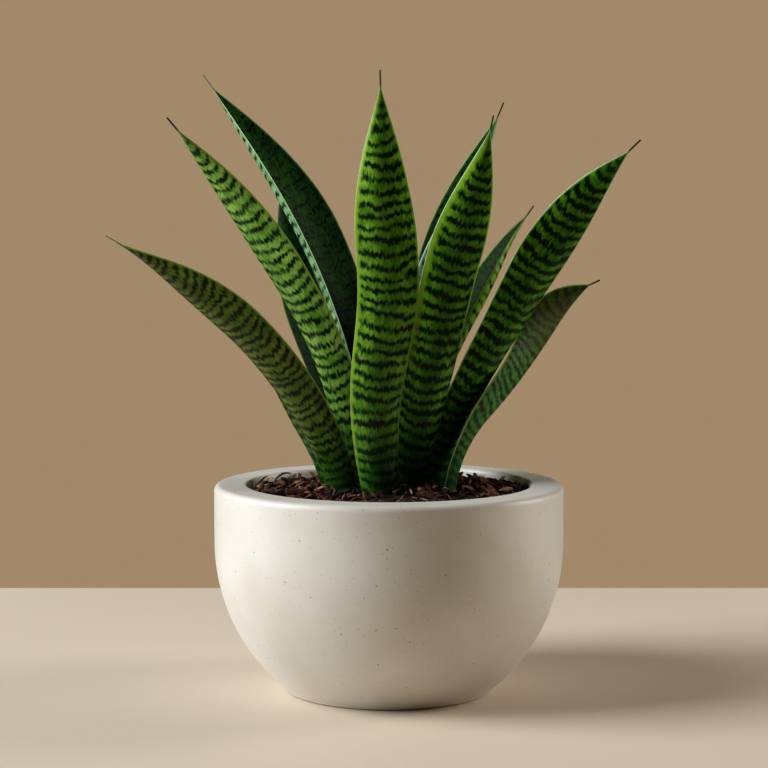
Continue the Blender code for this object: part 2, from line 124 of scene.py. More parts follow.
class Graph:
    """A material's node tree, with short ways to add and link nodes."""

    def __init__(self, name: str) -> None:
        """Starts a material that holds a Principled shader and its output.

        Args:
            name: The material's name.
        """
        self.material = bpy.data.materials.new(name)
        self.material.use_nodes = True
        self.tree = self.material.node_tree
        self.shader = self.tree.nodes["Principled BSDF"]

    def feed(self, socket: Socket, value: object) -> None:
        """Links a socket's output to the given input, or sets a constant on it.

        Args:
            socket: The input socket.
            value: An output socket, a number, or a tuple of numbers.
        """
        if isinstance(value, bpy.types.NodeSocket):
            self.tree.links.new(value, socket)
        elif isinstance(value, tuple) and socket.type == "RGBA":
            socket.default_value = (*value, 1.0)
        else:
            socket.default_value = value

    def math(self, operation: str, *values: object) -> Socket:
        """A Math node.

        Args:
            operation: The node's operation, such as "ADD".
            *values: Its inputs.

        Returns:
            The node's output.
        """
        node = self.tree.nodes.new("ShaderNodeMath")
        node.operation = operation
        for socket, value in zip(node.inputs, values):
            self.feed(socket, value)
        return node.outputs[0]

    def times(self, first: object, second: object) -> Socket:
        """The product of two values."""
        return self.math("MULTIPLY", first, second)

    def total(self, *values: object) -> Socket:
        """The sum of two or more values."""
        result = values[0]
        for value in values[1:]:
            result = self.math("ADD", result, value)
        return result

    def attribute(self, name: str) -> Socket:
        """A number that the mesh holds at each point.

        Args:
            name: The attribute's name.

        Returns:
            The number.
        """
        node = self.tree.nodes.new("ShaderNodeAttribute")
        node.attribute_name = name
        return node.outputs["Fac"]

    def place(self) -> Socket:
        """Object coordinates, in metres."""
        return self.tree.nodes.new("ShaderNodeTexCoord").outputs["Object"]

    def vector(self, x: object, y: object, z: object) -> Socket:
        """A vector from three values.

        Args:
            x: The first value.
            y: The second value.
            z: The third value.

        Returns:
            The vector.
        """
        node = self.tree.nodes.new("ShaderNodeCombineXYZ")
        for socket, value in zip(node.inputs, (x, y, z)):
            self.feed(socket, value)
        return node.outputs[0]

    def noise(
        self, at: Socket, scale: float = 1.0, detail: float = 2.0, rough: float = 0.5
    ) -> Socket:
        """Noise between 0 and 1.

        Args:
            at: The coordinate.
            scale: Features per unit.
            detail: Octaves.
            rough: How strong the finer octaves are.

        Returns:
            The noise value.
        """
        node = self.tree.nodes.new("ShaderNodeTexNoise")
        self.feed(node.inputs["Vector"], at)
        node.inputs["Scale"].default_value = scale
        node.inputs["Detail"].default_value = detail
        node.inputs["Roughness"].default_value = rough
        return node.outputs["Fac"]

    def cells(self, at: Socket, scale: float) -> tuple[Socket, Socket]:
        """Voronoi cells: the distance to a cell's point and a random value of that cell.

        Args:
            at: The coordinate.
            scale: Cells per metre.

        Returns:
            The distance and the random value.
        """
        node = self.tree.nodes.new("ShaderNodeTexVoronoi")
        self.feed(node.inputs["Vector"], at)
        node.inputs["Scale"].default_value = scale
        split = self.tree.nodes.new("ShaderNodeSeparateColor")
        self.feed(split.inputs[0], node.outputs["Color"])
        return node.outputs["Distance"], split.outputs[0]

    def step(self, value: object, low: float, high: float) -> Socket:
        """An eased ramp from 0 at low to 1 at high, or the other way round when low is above high.

        Args:
            value: The value to test.
            low: Where the result is 0.
            high: Where the result is 1.

        Returns:
            The ramp's value.
        """
        node = self.tree.nodes.new("ShaderNodeMapRange")
        node.interpolation_type = "SMOOTHSTEP"
        ends = (low, high, 0.0, 1.0) if low < high else (high, low, 1.0, 0.0)
        self.feed(node.inputs["Value"], value)
        for name, number in zip(("From Min", "From Max", "To Min", "To Max"), ends):
            node.inputs[name].default_value = number
        return node.outputs["Result"]

    def ramp(self, value: object, ramp: Ramp) -> Socket:
        """The step that a ramp gives, times the ramp's share."""
        result = self.step(value, ramp.low, ramp.high)
        return result if ramp.share == 1.0 else self.times(result, ramp.share)

    def spots(self, at: Socket, spots: Spots) -> Socket:
        """How strongly a point lies in one of the spots, which stand in the cells of high chance."""
        distance, chance = self.cells(at, spots.scale)
        return self.times(self.ramp(distance, spots.size), self.ramp(chance, spots.chance))

    def mix(self, share: object, first: object, second: object) -> Socket:
        """A colour between two others.

        Args:
            share: How much of the second colour there is.
            first: The first colour.
            second: The second colour.

        Returns:
            The colour.
        """
        node = self.tree.nodes.new("ShaderNodeMix")
        node.data_type = "RGBA"
        for name, value in (("Factor_Float", share), ("A_Color", first), ("B_Color", second)):
            socket = next(item for item in node.inputs if item.identifier == name)
            self.feed(socket, value)
        return next(item for item in node.outputs if item.identifier == "Result_Color")

    def bump(self, height: Socket, depth: float, strength: float) -> None:
        """Feeds a height map to the shader's normal.

        Args:
            height: Heights between 0 and 1.
            depth: What a height of 1 stands for, in metres.
            strength: How much of it shows.
        """
        node = self.tree.nodes.new("ShaderNodeBump")
        node.inputs["Distance"].default_value = depth
        node.inputs["Strength"].default_value = strength
        self.feed(node.inputs["Height"], height)
        self.feed(self.shader.inputs["Normal"], node.outputs["Normal"])

    def finish(self, colour: object, roughness: object, **constants: float) -> bpy.types.Material:
        """Sets the shader's colour, roughness and constants.

        Args:
            colour: The base colour.
            roughness: The roughness.
            **constants: Other inputs, with _ for each space in the name.

        Returns:
            The finished material.
        """
        self.feed(self.shader.inputs["Base Color"], colour)
        self.feed(self.shader.inputs["Roughness"], roughness)
        for name, number in constants.items():
            self.shader.inputs[name.replace("_", " ")].default_value = number
        return self.material


# ---------------------------------------------------------------- finishes


class LeafReader:
    """What a skin reads at each point of its leaf, and noise that is stretched over the leaf."""

    def __init__(self, g: Graph, seed: float) -> None:
        """Reads the leaf's attributes.

        Args:
            g: The skin's node tree.
            seed: Where in the noise this leaf looks.
        """
        self.g = g
        self.seed = seed
        self.along, self.across = g.attribute("along"), g.attribute("across")
        self.edge, self.border = g.attribute("edge"), g.attribute("border")
        self.share, self.inner = g.attribute("share"), g.attribute("inner")
        self.relative = g.attribute("relative")

    def grain(self, grain: Grain) -> Socket:
        """The grain's noise, between 0 and 1.

        Args:
            grain: The stretched noise.

        Returns:
            The noise value.
        """
        g = self.g
        across, along = g.times(self.across, grain.across), g.times(self.along, grain.along)
        at = g.vector(across, along, self.seed + grain.shift)
        return g.noise(at, detail=grain.detail, rough=grain.rough)

    def sway(self, grain: Grain) -> Socket:
        """The grain's noise around zero, of about plus or minus its size."""
        return self.g.times(self.g.math("SUBTRACT", self.grain(grain), 0.5), 2 * grain.size)


@dataclass(frozen=True)
class LeafSkin:
    """A waxy leaf skin with dark, toothed cross bands and a pale margin.

    Bands repeat every spacing metres along the leaf. band_share is how much of that is dark, and
    rise is how far a band climbs from the midrib to the margins. The outer face runs from deep over
    mid to light, the inner face from inner to inner_light, colours set darker as painted shade on
    the inner face. Painted shade along the midrib has its own colour and share, and browning is how
    much brown the upper part has.
    """

    light: Colour = (0.225, 0.455, 0.045)
    mid: Colour = (0.078, 0.235, 0.008)
    deep: Colour = (0.012, 0.062, 0.004)
    band: Colour = (0.0006, 0.0110, 0.0040)
    margin: Colour = (0.240, 0.430, 0.030)
    # The rim colour is a painted highlight, a thin pale line along each margin's edge
    rim: Colour = (0.42, 0.60, 0.22)
    # The default inner colours are darker than the outer ones: painted shade on the inner face
    inner: Colour = (0.004, 0.026, 0.003)
    inner_light: Colour = (0.028, 0.100, 0.006)
    awl: Colour = (0.060, 0.075, 0.035)
    brown: Colour = (0.075, 0.055, 0.016)
    foot: Colour = (0.003, 0.050, 0.011)
    neck: Colour = (0.020, 0.090, 0.025)
    # The midrib colour below, and its share, are painted shade along the midrib
    midrib_shade: Colour = (0.022, 0.076, 0.002)
    browning: float = 0.0
    midrib_shade_share: float = 0.60
    spacing: float = 0.0096
    band_share: float = 0.30
    rise: float = 0.0050
    roughness: float = 0.31
    gloss: float = 0.18

    # Noises over the leaf
    WANDER = Grain(40, 34, 0, detail=1.0, size=0.0060)
    TEETH = Grain(300, 60, 7, detail=2.0, size=0.0040)
    THICKENING = Grain(80, 90, 3, detail=1.0, size=0.95)
    FRAYING = Grain(560, 170, 19, detail=2.5, size=1.75)
    MOTTLE = Grain(300, 95, 11, detail=3.0, rough=0.6)
    BLOTCHES = Grain(60, 40, 29, detail=1.0)
    FLECKS = Grain(950, 320, 41, detail=1.0)
    MARGIN_WAVE = Grain(120, 110, 53, detail=2.5, size=0.45)
    STREAKS = Grain(1100, 60, 61, detail=2.0)
    WAX = Grain(60, 35, 71, detail=3.0)

    # Where a band's soft edge and its dark heart begin and end, about the level that cuts the wave
    SOFT_EDGE = (-1.15, 0.25)
    DARK_EDGE = (-0.05, 0.50)
    SOFT_SHARE = 0.88
    DARK_SHARE = 0.95

    # Ramps over the noises and over the leaf's own measures
    BLOTCH_SHARE = 0.6
    PATCHES = Ramp(0.62, 1.00)
    MIDRIB = Ramp(0.62, 0.05)
    FLECKED = Ramp(0.57, 0.68, 0.60)
    BROWNED = Ramp(0.50, 0.78)
    FOOT = Ramp(0.085, 0.005, 0.70)
    MARGIN = Ramp(1.15, 0.35, 0.88)
    MARGIN_START = 0.08
    RIM_HIGHLIGHT_LINE = Ramp(0.00075, 0.00025)
    RIM_HIGHLIGHT_SHARE = 0.85
    NECK = Ramp(0.86, 0.955, 0.5)
    SPUR = Ramp(0.955, 0.972)

    # Relief and wax
    STREAK_RELIEF, BAND_RELIEF, MOTTLE_RELIEF = 0.6, -0.25, 0.5
    RELIEF_DEPTH, RELIEF_STRENGTH = 0.0004, 0.55
    WAX_SHARE = 0.22
    INNER_DULLNESS = 0.30

    def bands(self, leaf: LeafReader) -> tuple[Socket, Socket]:
        """How far a point lies in a band's soft edge and in its dark heart.

        A sine of the place along the leaf, which the rise, a slow wander and fine teeth bend, is
        thickened and frayed by noise and then cut at the cosine of pi times the bands' share.

        Args:
            leaf: What the skin reads.

        Returns:
            The soft edge and the dark heart, each between 0 and 1.
        """
        g = leaf.g
        climb = g.times(g.times(leaf.relative, leaf.relative), -self.rise)
        line = g.total(leaf.along, climb, leaf.sway(self.WANDER), leaf.sway(self.TEETH))
        wave = g.math("SINE", g.times(line, 2 * math.pi / self.spacing))
        height = g.total(wave, leaf.sway(self.THICKENING), leaf.sway(self.FRAYING))
        level = math.cos(math.pi * self.band_share)
        edges = (self.SOFT_EDGE, self.DARK_EDGE)
        soft, dark = (g.step(height, level + low, level + high) for low, high in edges)
        return soft, dark

    def blade(self, leaf: LeafReader, mottle: Socket, soft: Socket, dark: Socket) -> Socket:
        """The colour of the blade between its margins.

        Args:
            leaf: What the skin reads.
            mottle: The mottling noise.
            soft: How far a point lies in a band's soft edge.
            dark: How far it lies in a band's dark heart.

        Returns:
            The colour.
        """
        g = leaf.g
        lightness = g.total(mottle, g.times(leaf.grain(self.BLOTCHES), self.BLOTCH_SHARE))
        patch = g.ramp(lightness, self.PATCHES)
        outside = g.mix(patch, self.mid, self.light)
        # The inner colours paint shade on the inner face, and sheen on the teal skin
        inside = g.mix(patch, self.inner, self.inner_light)
        skin = g.mix(leaf.inner, outside, inside)
        # Painted shade along the midrib
        skin = g.mix(g.times(g.ramp(leaf.relative, self.MIDRIB), self.midrib_shade_share), skin, self.midrib_shade)
        fleck = g.ramp(leaf.grain(self.FLECKS), self.FLECKED)
        skin = g.mix(g.math("MAXIMUM", fleck, g.times(soft, self.SOFT_SHARE)), skin, self.deep)
        skin = g.mix(g.times(dark, self.DARK_SHARE), skin, self.band)
        if self.browning:
            skin = g.mix(g.times(g.ramp(leaf.share, self.BROWNED), self.browning), skin, self.brown)
        return g.mix(g.ramp(leaf.along, self.FOOT), skin, self.foot)

    def margins(self, leaf: LeafReader, skin: Socket, margin_from: float) -> Socket:
        """The skin with its pale margins and a painted highlight line along their rim.

        Args:
            leaf: What the skin reads.
            skin: The blade's colour.
            margin_from: How far up the leaf, in metres, its pale margin begins.

        Returns:
            The colour.
        """
        g = leaf.g
        # Below margin_from the pale margin and its rim line are left out; on the front right leaf
        # this paints shadow
        begun = g.step(leaf.along, margin_from, margin_from + self.MARGIN_START)
        pale = g.ramp(g.math("ADD", leaf.edge, leaf.sway(self.MARGIN_WAVE)), self.MARGIN)
        skin = g.mix(g.times(pale, begun), skin, self.margin)
        # Painted highlight: the rim colour as a thin line along each margin's edge
        line = g.times(g.ramp(leaf.border, self.RIM_HIGHLIGHT_LINE), g.times(begun, self.RIM_HIGHLIGHT_SHARE))
        return g.mix(line, skin, self.rim)

    def material(self, name: str, seed: float, margin_from: float) -> bpy.types.Material:
        """The skin as a material that reads the leaf's own attributes.

        Args:
            name: The material's name.
            seed: Where in the noise this leaf looks.
            margin_from: How far up the leaf, in metres, its pale margin begins.

        Returns:
            The material.
        """
        g = Graph(name)
        leaf = LeafReader(g, seed)
        soft, dark = self.bands(leaf)
        mottle = leaf.grain(self.MOTTLE)
        skin = self.margins(leaf, self.blade(leaf, mottle, soft, dark), margin_from)
        skin = g.mix(g.ramp(leaf.share, self.NECK), skin, self.neck)
        spur = g.ramp(leaf.share, self.SPUR)
        skin = g.mix(spur, skin, self.awl)

        relief = g.total(
            g.times(leaf.grain(self.STREAKS), self.STREAK_RELIEF),
            g.times(dark, self.BAND_RELIEF),
            g.times(mottle, self.MOTTLE_RELIEF),
        )
        smooth_spur = g.times(relief, g.math("SUBTRACT", 1.0, spur))
        g.bump(smooth_spur, self.RELIEF_DEPTH, self.RELIEF_STRENGTH)
        wax = g.times(leaf.grain(self.WAX), self.WAX_SHARE)
        dull = g.times(leaf.inner, self.INNER_DULLNESS)
        rough = g.total(wax, self.roughness - self.WAX_SHARE / 2, dull)
        return g.finish(skin, rough, Specular_IOR_Level=self.gloss)


@dataclass(frozen=True)
class StoneFinish:
    """Cream cast stone: a satin face with fine grain, pinholes darkened with painted shade, and pale
    specks.
    """

    cream: Colour = (0.74, 0.725, 0.695)
    warm: Colour = (0.66, 0.625, 0.565)
    # The pit colour is painted shade in the pinholes
    pinhole_shade: Colour = (0.16, 0.125, 0.09)
    speck: Colour = (0.80, 0.78, 0.74)
    roughness: float = 0.40

    # Each noise's features per metre, octaves and strength of the finer ones
    CLOUD_NOISE = (9.0, 3.0, 0.55)
    GRAIN_NOISE = (1500.0, 2.0, 0.6)

    # Ramps and shares that turn noise into clouds, grain, specks, pinholes and relief
    CLOUDS = Ramp(0.35, 0.70)
    GRAIN = Ramp(0.40, 0.75, 0.45)
    SPECKS = Spots(330.0, Ramp(0.26, 0.12), Ramp(0.62, 0.70))
    PITS = Spots(120.0, Ramp(0.085, 0.045), Ramp(0.50, 0.56))
    DOTS = Spots(230.0, Ramp(0.13, 0.06), Ramp(0.45, 0.51))
    SPECK_SHARE, DOT_SHARE, HOLE_SHARE = 0.55, 0.6, 0.85
    GRAIN_RELIEF, HOLE_RELIEF = 0.35, -1.0
    RELIEF_DEPTH, RELIEF_STRENGTH = 0.0004, 0.6
    CLOUD_DULLNESS, HOLE_DULLNESS = 0.14, 0.3
    GLOSS = 0.5

    def material(self, name: str) -> bpy.types.Material:
        """The finish as a material on Object coordinates.

        Args:
            name: The material's name.

        Returns:
            The material.
        """
        g = Graph(name)
        at = g.place()
        cloud = g.noise(at, *self.CLOUD_NOISE)
        colour = g.mix(g.ramp(cloud, self.CLOUDS), self.cream, self.warm)
        grain = g.noise(at, *self.GRAIN_NOISE)
        colour = g.mix(g.ramp(grain, self.GRAIN), colour, self.warm)
        colour = g.mix(g.times(g.spots(at, self.SPECKS), self.SPECK_SHARE), colour, self.speck)
        # Painted shade: pinholes and dots darken to the pit colour
        dots = g.times(g.spots(at, self.DOTS), self.DOT_SHARE)
        hole = g.math("MAXIMUM", g.spots(at, self.PITS), dots)
        colour = g.mix(g.times(hole, self.HOLE_SHARE), colour, self.pinhole_shade)
        relief = g.total(g.times(grain, self.GRAIN_RELIEF), g.times(hole, self.HOLE_RELIEF))
        g.bump(relief, self.RELIEF_DEPTH, self.RELIEF_STRENGTH)
        rough = g.total(
            g.times(cloud, self.CLOUD_DULLNESS),
            self.roughness - self.CLOUD_DULLNESS / 2,
            g.times(hole, self.HOLE_DULLNESS),
        )
        return g.finish(colour, rough, Specular_IOR_Level=self.GLOSS)


@dataclass(frozen=True)
class BarkFinish:
    """Shredded bark: each shred's tone runs from dark over red to tan, with fibres in it and painted
    shade in the gaps between the fibres.

    With tone set, the whole piece has about that tone. Without it, each point's own tone is read.
    """

    dark: Colour = (0.012, 0.005, 0.003)
    red: Colour = (0.165, 0.062, 0.030)
    tan: Colour = (0.560, 0.360, 0.200)
    tone: float | None = None

    # Each noise's features per metre, octaves and strength of the finer ones
    FIBRE_NOISE = (420.0, 4.0, 0.65)
    LUMP_NOISE = (130.0, 2.0, 0.5)

    # How much each noise moves the tone, the ramps over the tone, and the surface
    FIBRE_SHARE, LUMP_SHARE = 0.35, 0.5
    REDDENED = Ramp(0.10, 0.62)
    TANNED = Ramp(0.72, 0.98)
    # Painted shade: the dark colour in the gaps between fibres
    FIBRE_GAP_SHADE = Ramp(0.52, 0.36, 0.7)
    RELIEF_DEPTH, RELIEF_STRENGTH = 0.0009, 0.8
    ROUGHNESS, GLOSS = 0.78, 0.35

    def material(self, name: str) -> bpy.types.Material:
        """The finish as a material.

        Args:
            name: The material's name.

        Returns:
            The material.
        """
        g = Graph(name)
        at = g.place()
        fibre = g.noise(at, *self.FIBRE_NOISE)
        lump = g.noise(at, *self.LUMP_NOISE)
        if self.tone is None:
            tone = g.attribute("tone")
        else:
            tone = g.total(g.times(lump, self.LUMP_SHARE), self.tone - self.LUMP_SHARE / 2)
        tone = g.total(tone, g.times(g.math("SUBTRACT", fibre, 0.5), self.FIBRE_SHARE))
        colour = g.mix(g.ramp(tone, self.REDDENED), self.dark, self.red)
        colour = g.mix(g.ramp(tone, self.TANNED), colour, self.tan)
        # Painted shade in the gaps between fibres
        colour = g.mix(g.ramp(fibre, self.FIBRE_GAP_SHADE), colour, self.dark)
        g.bump(g.total(fibre, lump), self.RELIEF_DEPTH, self.RELIEF_STRENGTH)
        return g.finish(colour, self.ROUGHNESS, Specular_IOR_Level=self.GLOSS)


@dataclass(frozen=True)
class EarthFinish:
    """A plain earthy finish for what the mulch hides: crumbs over a base colour."""

    base: Colour
    crumb: Colour
    scale: float = 260.0
    roughness: float = 0.92

    LUMP_NOISE = (4.0, 0.6)
    CRUMBS = Ramp(0.40, 0.66)
    CELL_FINENESS = 1.4
    CELL_RELIEF = 0.6
    RELIEF_DEPTH, RELIEF_STRENGTH = 0.0012, 0.8
    GLOSS = 0.3

    def material(self, name: str) -> bpy.types.Material:
        """The finish as a material on Object coordinates.

        Args:
            name: The material's name.

        Returns:
            The material.
        """
        g = Graph(name)
        at = g.place()
        lump = g.noise(at, self.scale, *self.LUMP_NOISE)
        distance, _ = g.cells(at, self.scale * self.CELL_FINENESS)
        colour = g.mix(g.ramp(lump, self.CRUMBS), self.base, self.crumb)
        relief = g.total(lump, g.times(distance, self.CELL_RELIEF))
        g.bump(relief, self.RELIEF_DEPTH, self.RELIEF_STRENGTH)
        return g.finish(colour, self.roughness, Specular_IOR_Level=self.GLOSS)


# ---------------------------------------------------------------- surfaces


def show(name: str, data: object) -> bpy.types.Object:
    """An object that holds the given data, linked to the scene.

    Args:
        name: The object's name.
        data: Its mesh, light or camera.

    Returns:
        The object.
    """
    shown = bpy.data.objects.new(name, data)
    bpy.context.scene.collection.objects.link(shown)
    return shown


def add_piece(
    name: str, mesh: bpy.types.Mesh, material: bpy.types.Material, slot: Slot, *nodes: str
) -> bpy.types.Object:
    """Places a finished mesh in the scene as a piece of the object.

    Args:
        name: The piece's name.
        mesh: Its mesh, in the frame's own place.
        material: Its material.
        slot: The record's slot for the piece; not used.
        *nodes: The solids that it stands for.

    Returns:
        The piece.
    """
    mesh.materials.clear()
    mesh.materials.append(material)
    piece = show(name, mesh)
    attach(piece, BODY)
    if nodes:
        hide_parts(*nodes)
    stands_for = ", ".join(nodes) or "no solid"
    LOG.info("%s: %d points, stands for %s", name, len(mesh.vertices), stands_for)
    return piece


def mesh_from(name: str, points: np.ndarray, faces: list, crease: float) -> bpy.types.Mesh:
    """A smooth-shaded mesh from points and faces, turned outward.

    Args:
        name: The mesh's name.
        points: One row for each point.
        faces: Lists of point numbers that all run the same way round.
        crease: The angle in degrees past which an edge stays sharp.

    Returns:
        The mesh.
    """
    mesh = bpy.data.meshes.new(name)
    mesh.from_pydata(points.tolist(), [], faces)
    shape = bmesh.new()
    shape.from_mesh(mesh)
    if shape.calc_volume(signed=True) < 0:
        bmesh.ops.reverse_faces(shape, faces=shape.faces)
    shape.to_mesh(mesh)
    shape.free()
    return shaded(mesh, crease)


def shaded(mesh: bpy.types.Mesh, crease: float) -> bpy.types.Mesh:
    """The mesh, shaded smooth but for edges past the crease angle in degrees.

    Args:
        mesh: The mesh.
        crease: The angle in degrees past which an edge stays sharp.

    Returns:
        The same mesh.
    """
    mesh.shade_smooth()
    mesh.set_sharp_from_angle(angle=math.radians(crease))
    return mesh


def set_values(mesh: bpy.types.Mesh, name: str, values: np.ndarray) -> None:
    """Stores one number for each point of the mesh."""
    layer = mesh.attributes.new(name, "FLOAT", "POINT")
    layer.data.foreach_set("value", np.ascontiguousarray(values, dtype=np.float32).ravel())


def grid_faces(rows: int, columns: int) -> np.ndarray:
    """Quads over rows of points that are numbered row by row and closed into rings.

    Args:
        rows: Rows of points.
        columns: Points in each row.

    Returns:
        One row of four point numbers for each quad.
    """
    row, column = np.meshgrid(np.arange(rows - 1), np.arange(columns), indexing="ij")
    this, after = row * columns, (column + 1) % columns
    corners = (this + column, this + after, this + columns + after, this + columns + column)
    return np.stack(corners, axis=-1).reshape(-1, 4)


def fan_faces(ring: np.ndarray, point: int) -> np.ndarray:
    """Triangles from each side of a closed ring to one point."""
    return np.stack([ring, np.roll(ring, -1), np.full_like(ring, point)], axis=1)


def natural_cubic(knots: np.ndarray, values: np.ndarray, at: np.ndarray) -> np.ndarray:
    """The natural cubic through the values at the knots, read at the places in at.

    Between two knots the curve is the straight blend of their values plus each one's bend times
    (share cubed - share) times the span squared, over 6. The bends solve one linear system.

    Args:
        knots: Where the values are given.
        values: One row for each knot.
        at: Where to read the curve.

    Returns:
        One row for each place.
    """
    values = values.reshape(len(knots), -1)
    steps = np.diff(knots)
    system = np.eye(len(knots))
    inside = np.arange(1, len(knots) - 1)
    system[inside, inside - 1] = steps[:-1]
    system[inside, inside] = 2 * (steps[:-1] + steps[1:])
    system[inside, inside + 1] = steps[1:]
    slopes = np.diff(values, axis=0) / steps[:, None]
    turns = np.zeros_like(values)
    turns[1:-1] = 6 * np.diff(slopes, axis=0)
    bends = np.linalg.solve(system, turns)
    span = np.clip(np.searchsorted(knots, at, side="right") - 1, 0, len(knots) - 2)
    width = steps[span][:, None]
    near = (knots[span + 1] - at)[:, None] / width
    far = (at - knots[span])[:, None] / width
    curve = ((near**3 - near) * bends[span] + (far**3 - far) * bends[span + 1]) * width**2 / 6
    return near * values[span] + far * values[span + 1] + curve


def unit(vectors: np.ndarray) -> np.ndarray:
    """The vectors at length 1."""
    return vectors / np.linalg.norm(vectors, axis=-1, keepdims=True)


# ---------------------------------------------------------------- leaves


@dataclass(frozen=True)
class Leaf:
    """One leaf. The route holds points of its midrib, foot first, with heights above its foot.

    face is where the outer face looks at each of those points, in degrees: 0 to the front, 90 to the
    right. cup is the turn in degrees between the margins at the foot, the middle and the tip. A roll
    turns one margin further towards the inner face at those three places. foot_share is the foot's
    width as a share of the widest, which lies at the share widest of the length. A margin's size is
    the width of its pale strip in metres, and margin_from is how far up the strips begin.
    """

    name: str
    slot: Slot
    route: tuple
    face: tuple
    width: float
    cup: tuple = (100, 60, 70)
    foot_share: float = 0.68
    widest: float = 0.58
    left_roll: tuple = (0, 0, 0)
    right_roll: tuple = (0, 0, 0)
    skin: LeafSkin = field(default_factory=LeafSkin)
    seed: float = 0.0
    left_margin: float = 0.0018
    right_margin: float = 0.0018
    margin_from: float = 0.0


@dataclass
class LeafFan:
    """The twelve leaves, each a lens-shaped section carried along its midrib."""

    stations: int = 170
    columns: int = 27
    foot_thickness: float = 0.0046
    tip_thickness: float = 0.0012
    spur_width: float = 0.0013
    spur_from: float = 0.965
    foot_levelling: float = 0.16
    roll_from: float = 0.3
    roll_power: float = 1.5
    fall_power: float = 1.8
    point_power: float = 1.1
    thinning: float = 0.8
    crowding: float = 1.35
    section_steps: int = 385
    tangent_reach: float = 1e-4
    face_shift: float = 0.1
    shapes: list = field(default_factory=list)

    def width_share(self, leaf: Leaf, share: np.ndarray) -> np.ndarray:
        """Width as a share of the widest.

        It rises from the foot by a sine, times 1 - fall to the fall power, to the point power.

        Args:
            leaf: The leaf.
            share: Places along the leaf, from 0 at its foot to 1 at its tip.

        Returns:
            The width's share at each place.
        """
        rise = np.clip(share / leaf.widest, 0, 1)
        lower = leaf.foot_share + (1 - leaf.foot_share) * np.sin(rise * math.pi / 2)
        fall = np.clip((share - leaf.widest) / (self.spur_from - leaf.widest), 0, 1)
        return lower * (1 - fall**self.fall_power) ** self.point_power

    def rings(self, leaf: Leaf) -> tuple[np.ndarray, dict[str, np.ndarray]]:
        """Closed sections of the leaf and what its skin needs to know at each point.

        A section is integrated from its slope angle, which grows from the midrib to each margin by
        half the cup and by that side's roll. The two faces stand off that line by half of the
        thickness times the root of 1 - u squared, where u runs from -1 to 1 between the margins.
        Near the foot the points slide along the leaf until each ring lies level.

        Args:
            leaf: The leaf.

        Returns:
            The points, as stations by points around, and the skin's values in the same layout.
        """
        route = np.array(leaf.route) + (0, 0, FOOT_LEVEL)
        lengths = np.linalg.norm(np.diff(route, axis=0), axis=1)
        knots = np.concatenate([[0], np.cumsum(lengths)])
        share = 1 - (1 - np.linspace(0, 1, self.stations)) ** self.crowding
        at = share * knots[-1]
        midrib = natural_cubic(knots, route, at)
        ahead = natural_cubic(knots, route, at + self.tangent_reach)
        tangent = unit(ahead - natural_cubic(knots, route, at - self.tangent_reach))
        azimuth = np.radians(natural_cubic(knots, np.array(leaf.face, float), at))[:, 0]
        looks = np.stack([np.sin(azimuth), -np.cos(azimuth), np.zeros_like(azimuth)], axis=1)
        outward = unit(looks - np.sum(looks * tangent, axis=1, keepdims=True) * tangent)
        sideways = np.cross(tangent, outward)

        half = np.maximum(leaf.width * self.width_share(leaf, share), self.spur_width) / 2
        thinner = (self.tip_thickness - self.foot_thickness) * share**self.thinning
        thick = np.minimum(self.foot_thickness + thinner, 2 * half)
        thirds = np.array([0.0, 0.5, 1.0])
        cup, left, right = (
            np.radians(natural_cubic(thirds, np.array(turns, float), share))
            for turns in (leaf.cup, leaf.left_roll, leaf.right_roll)
        )
        fine = np.linspace(-1, 1, self.section_steps)
        edge = np.clip((np.abs(fine) - self.roll_from) / (1 - self.roll_from), 0, 1)
        rolled = np.where(fine < 0, left, right) * edge**self.roll_power * np.sign(fine)
        slope = cup / 2 * fine + rolled
        mean = (slope[:, 1:] + slope[:, :-1]) / 2
        blank = np.zeros((self.stations, 1))
        side, dip = (
            np.concatenate([blank, np.cumsum(part, axis=1)], axis=1) * (fine[1] - fine[0])
            for part in (np.cos(mean), np.sin(mean))
        )
        middle = self.section_steps // 2
        side, dip = side - side[:, [middle]], dip - dip[:, [middle]]

        u = np.sin(np.linspace(-1, 1, self.columns) * math.pi / 2)
        picks = np.round((u + 1) / 2 * (self.section_steps - 1)).astype(int)
        u, side, dip, slope = fine[picks], side[:, picks], dip[:, picks], slope[:, picks]
        lens = thick[:, None] / 2 * np.sqrt(1 - u**2)

        back = np.arange(self.columns - 2, 0, -1)
        order = np.concatenate([np.arange(self.columns), back])
        sign = np.concatenate([np.ones(self.columns), -np.ones(self.columns - 2)])
        slope, side, dip = slope[:, order], side[:, order], dip[:, order]
        lens = lens[:, order] * sign
        across = (side * half[:, None] + lens * np.sin(slope))[..., None] * sideways[:, None]
        off = (lens * np.cos(slope) - dip * half[:, None])[..., None] * outward[:, None]
        points = midrib[:, None] + across + off
        rise = midrib[:, None, 2] - points[..., 2]
        slide = np.clip(1 - share / self.foot_levelling, 0, 1) / tangent[:, 2]
        points = points + (rise * slide[:, None])[..., None] * tangent[:, None]

        u = u[order][None, :] * np.ones((self.stations, 1))
        inner = (sign < 0)[None, :] * np.ones((self.stations, 1))
        edge = np.minimum((1 + u) / leaf.left_margin, (1 - u) / leaf.right_margin)
        values = {
            "along": at[:, None] + 0 * u,
            "across": u * half[:, None] + self.face_shift * inner,
            "edge": edge * half[:, None],
            "border": (1 - np.abs(u)) * half[:, None],
            "share": share[:, None] + 0 * u,
            "inner": inner,
            "relative": np.abs(u),
        }
        return points, values

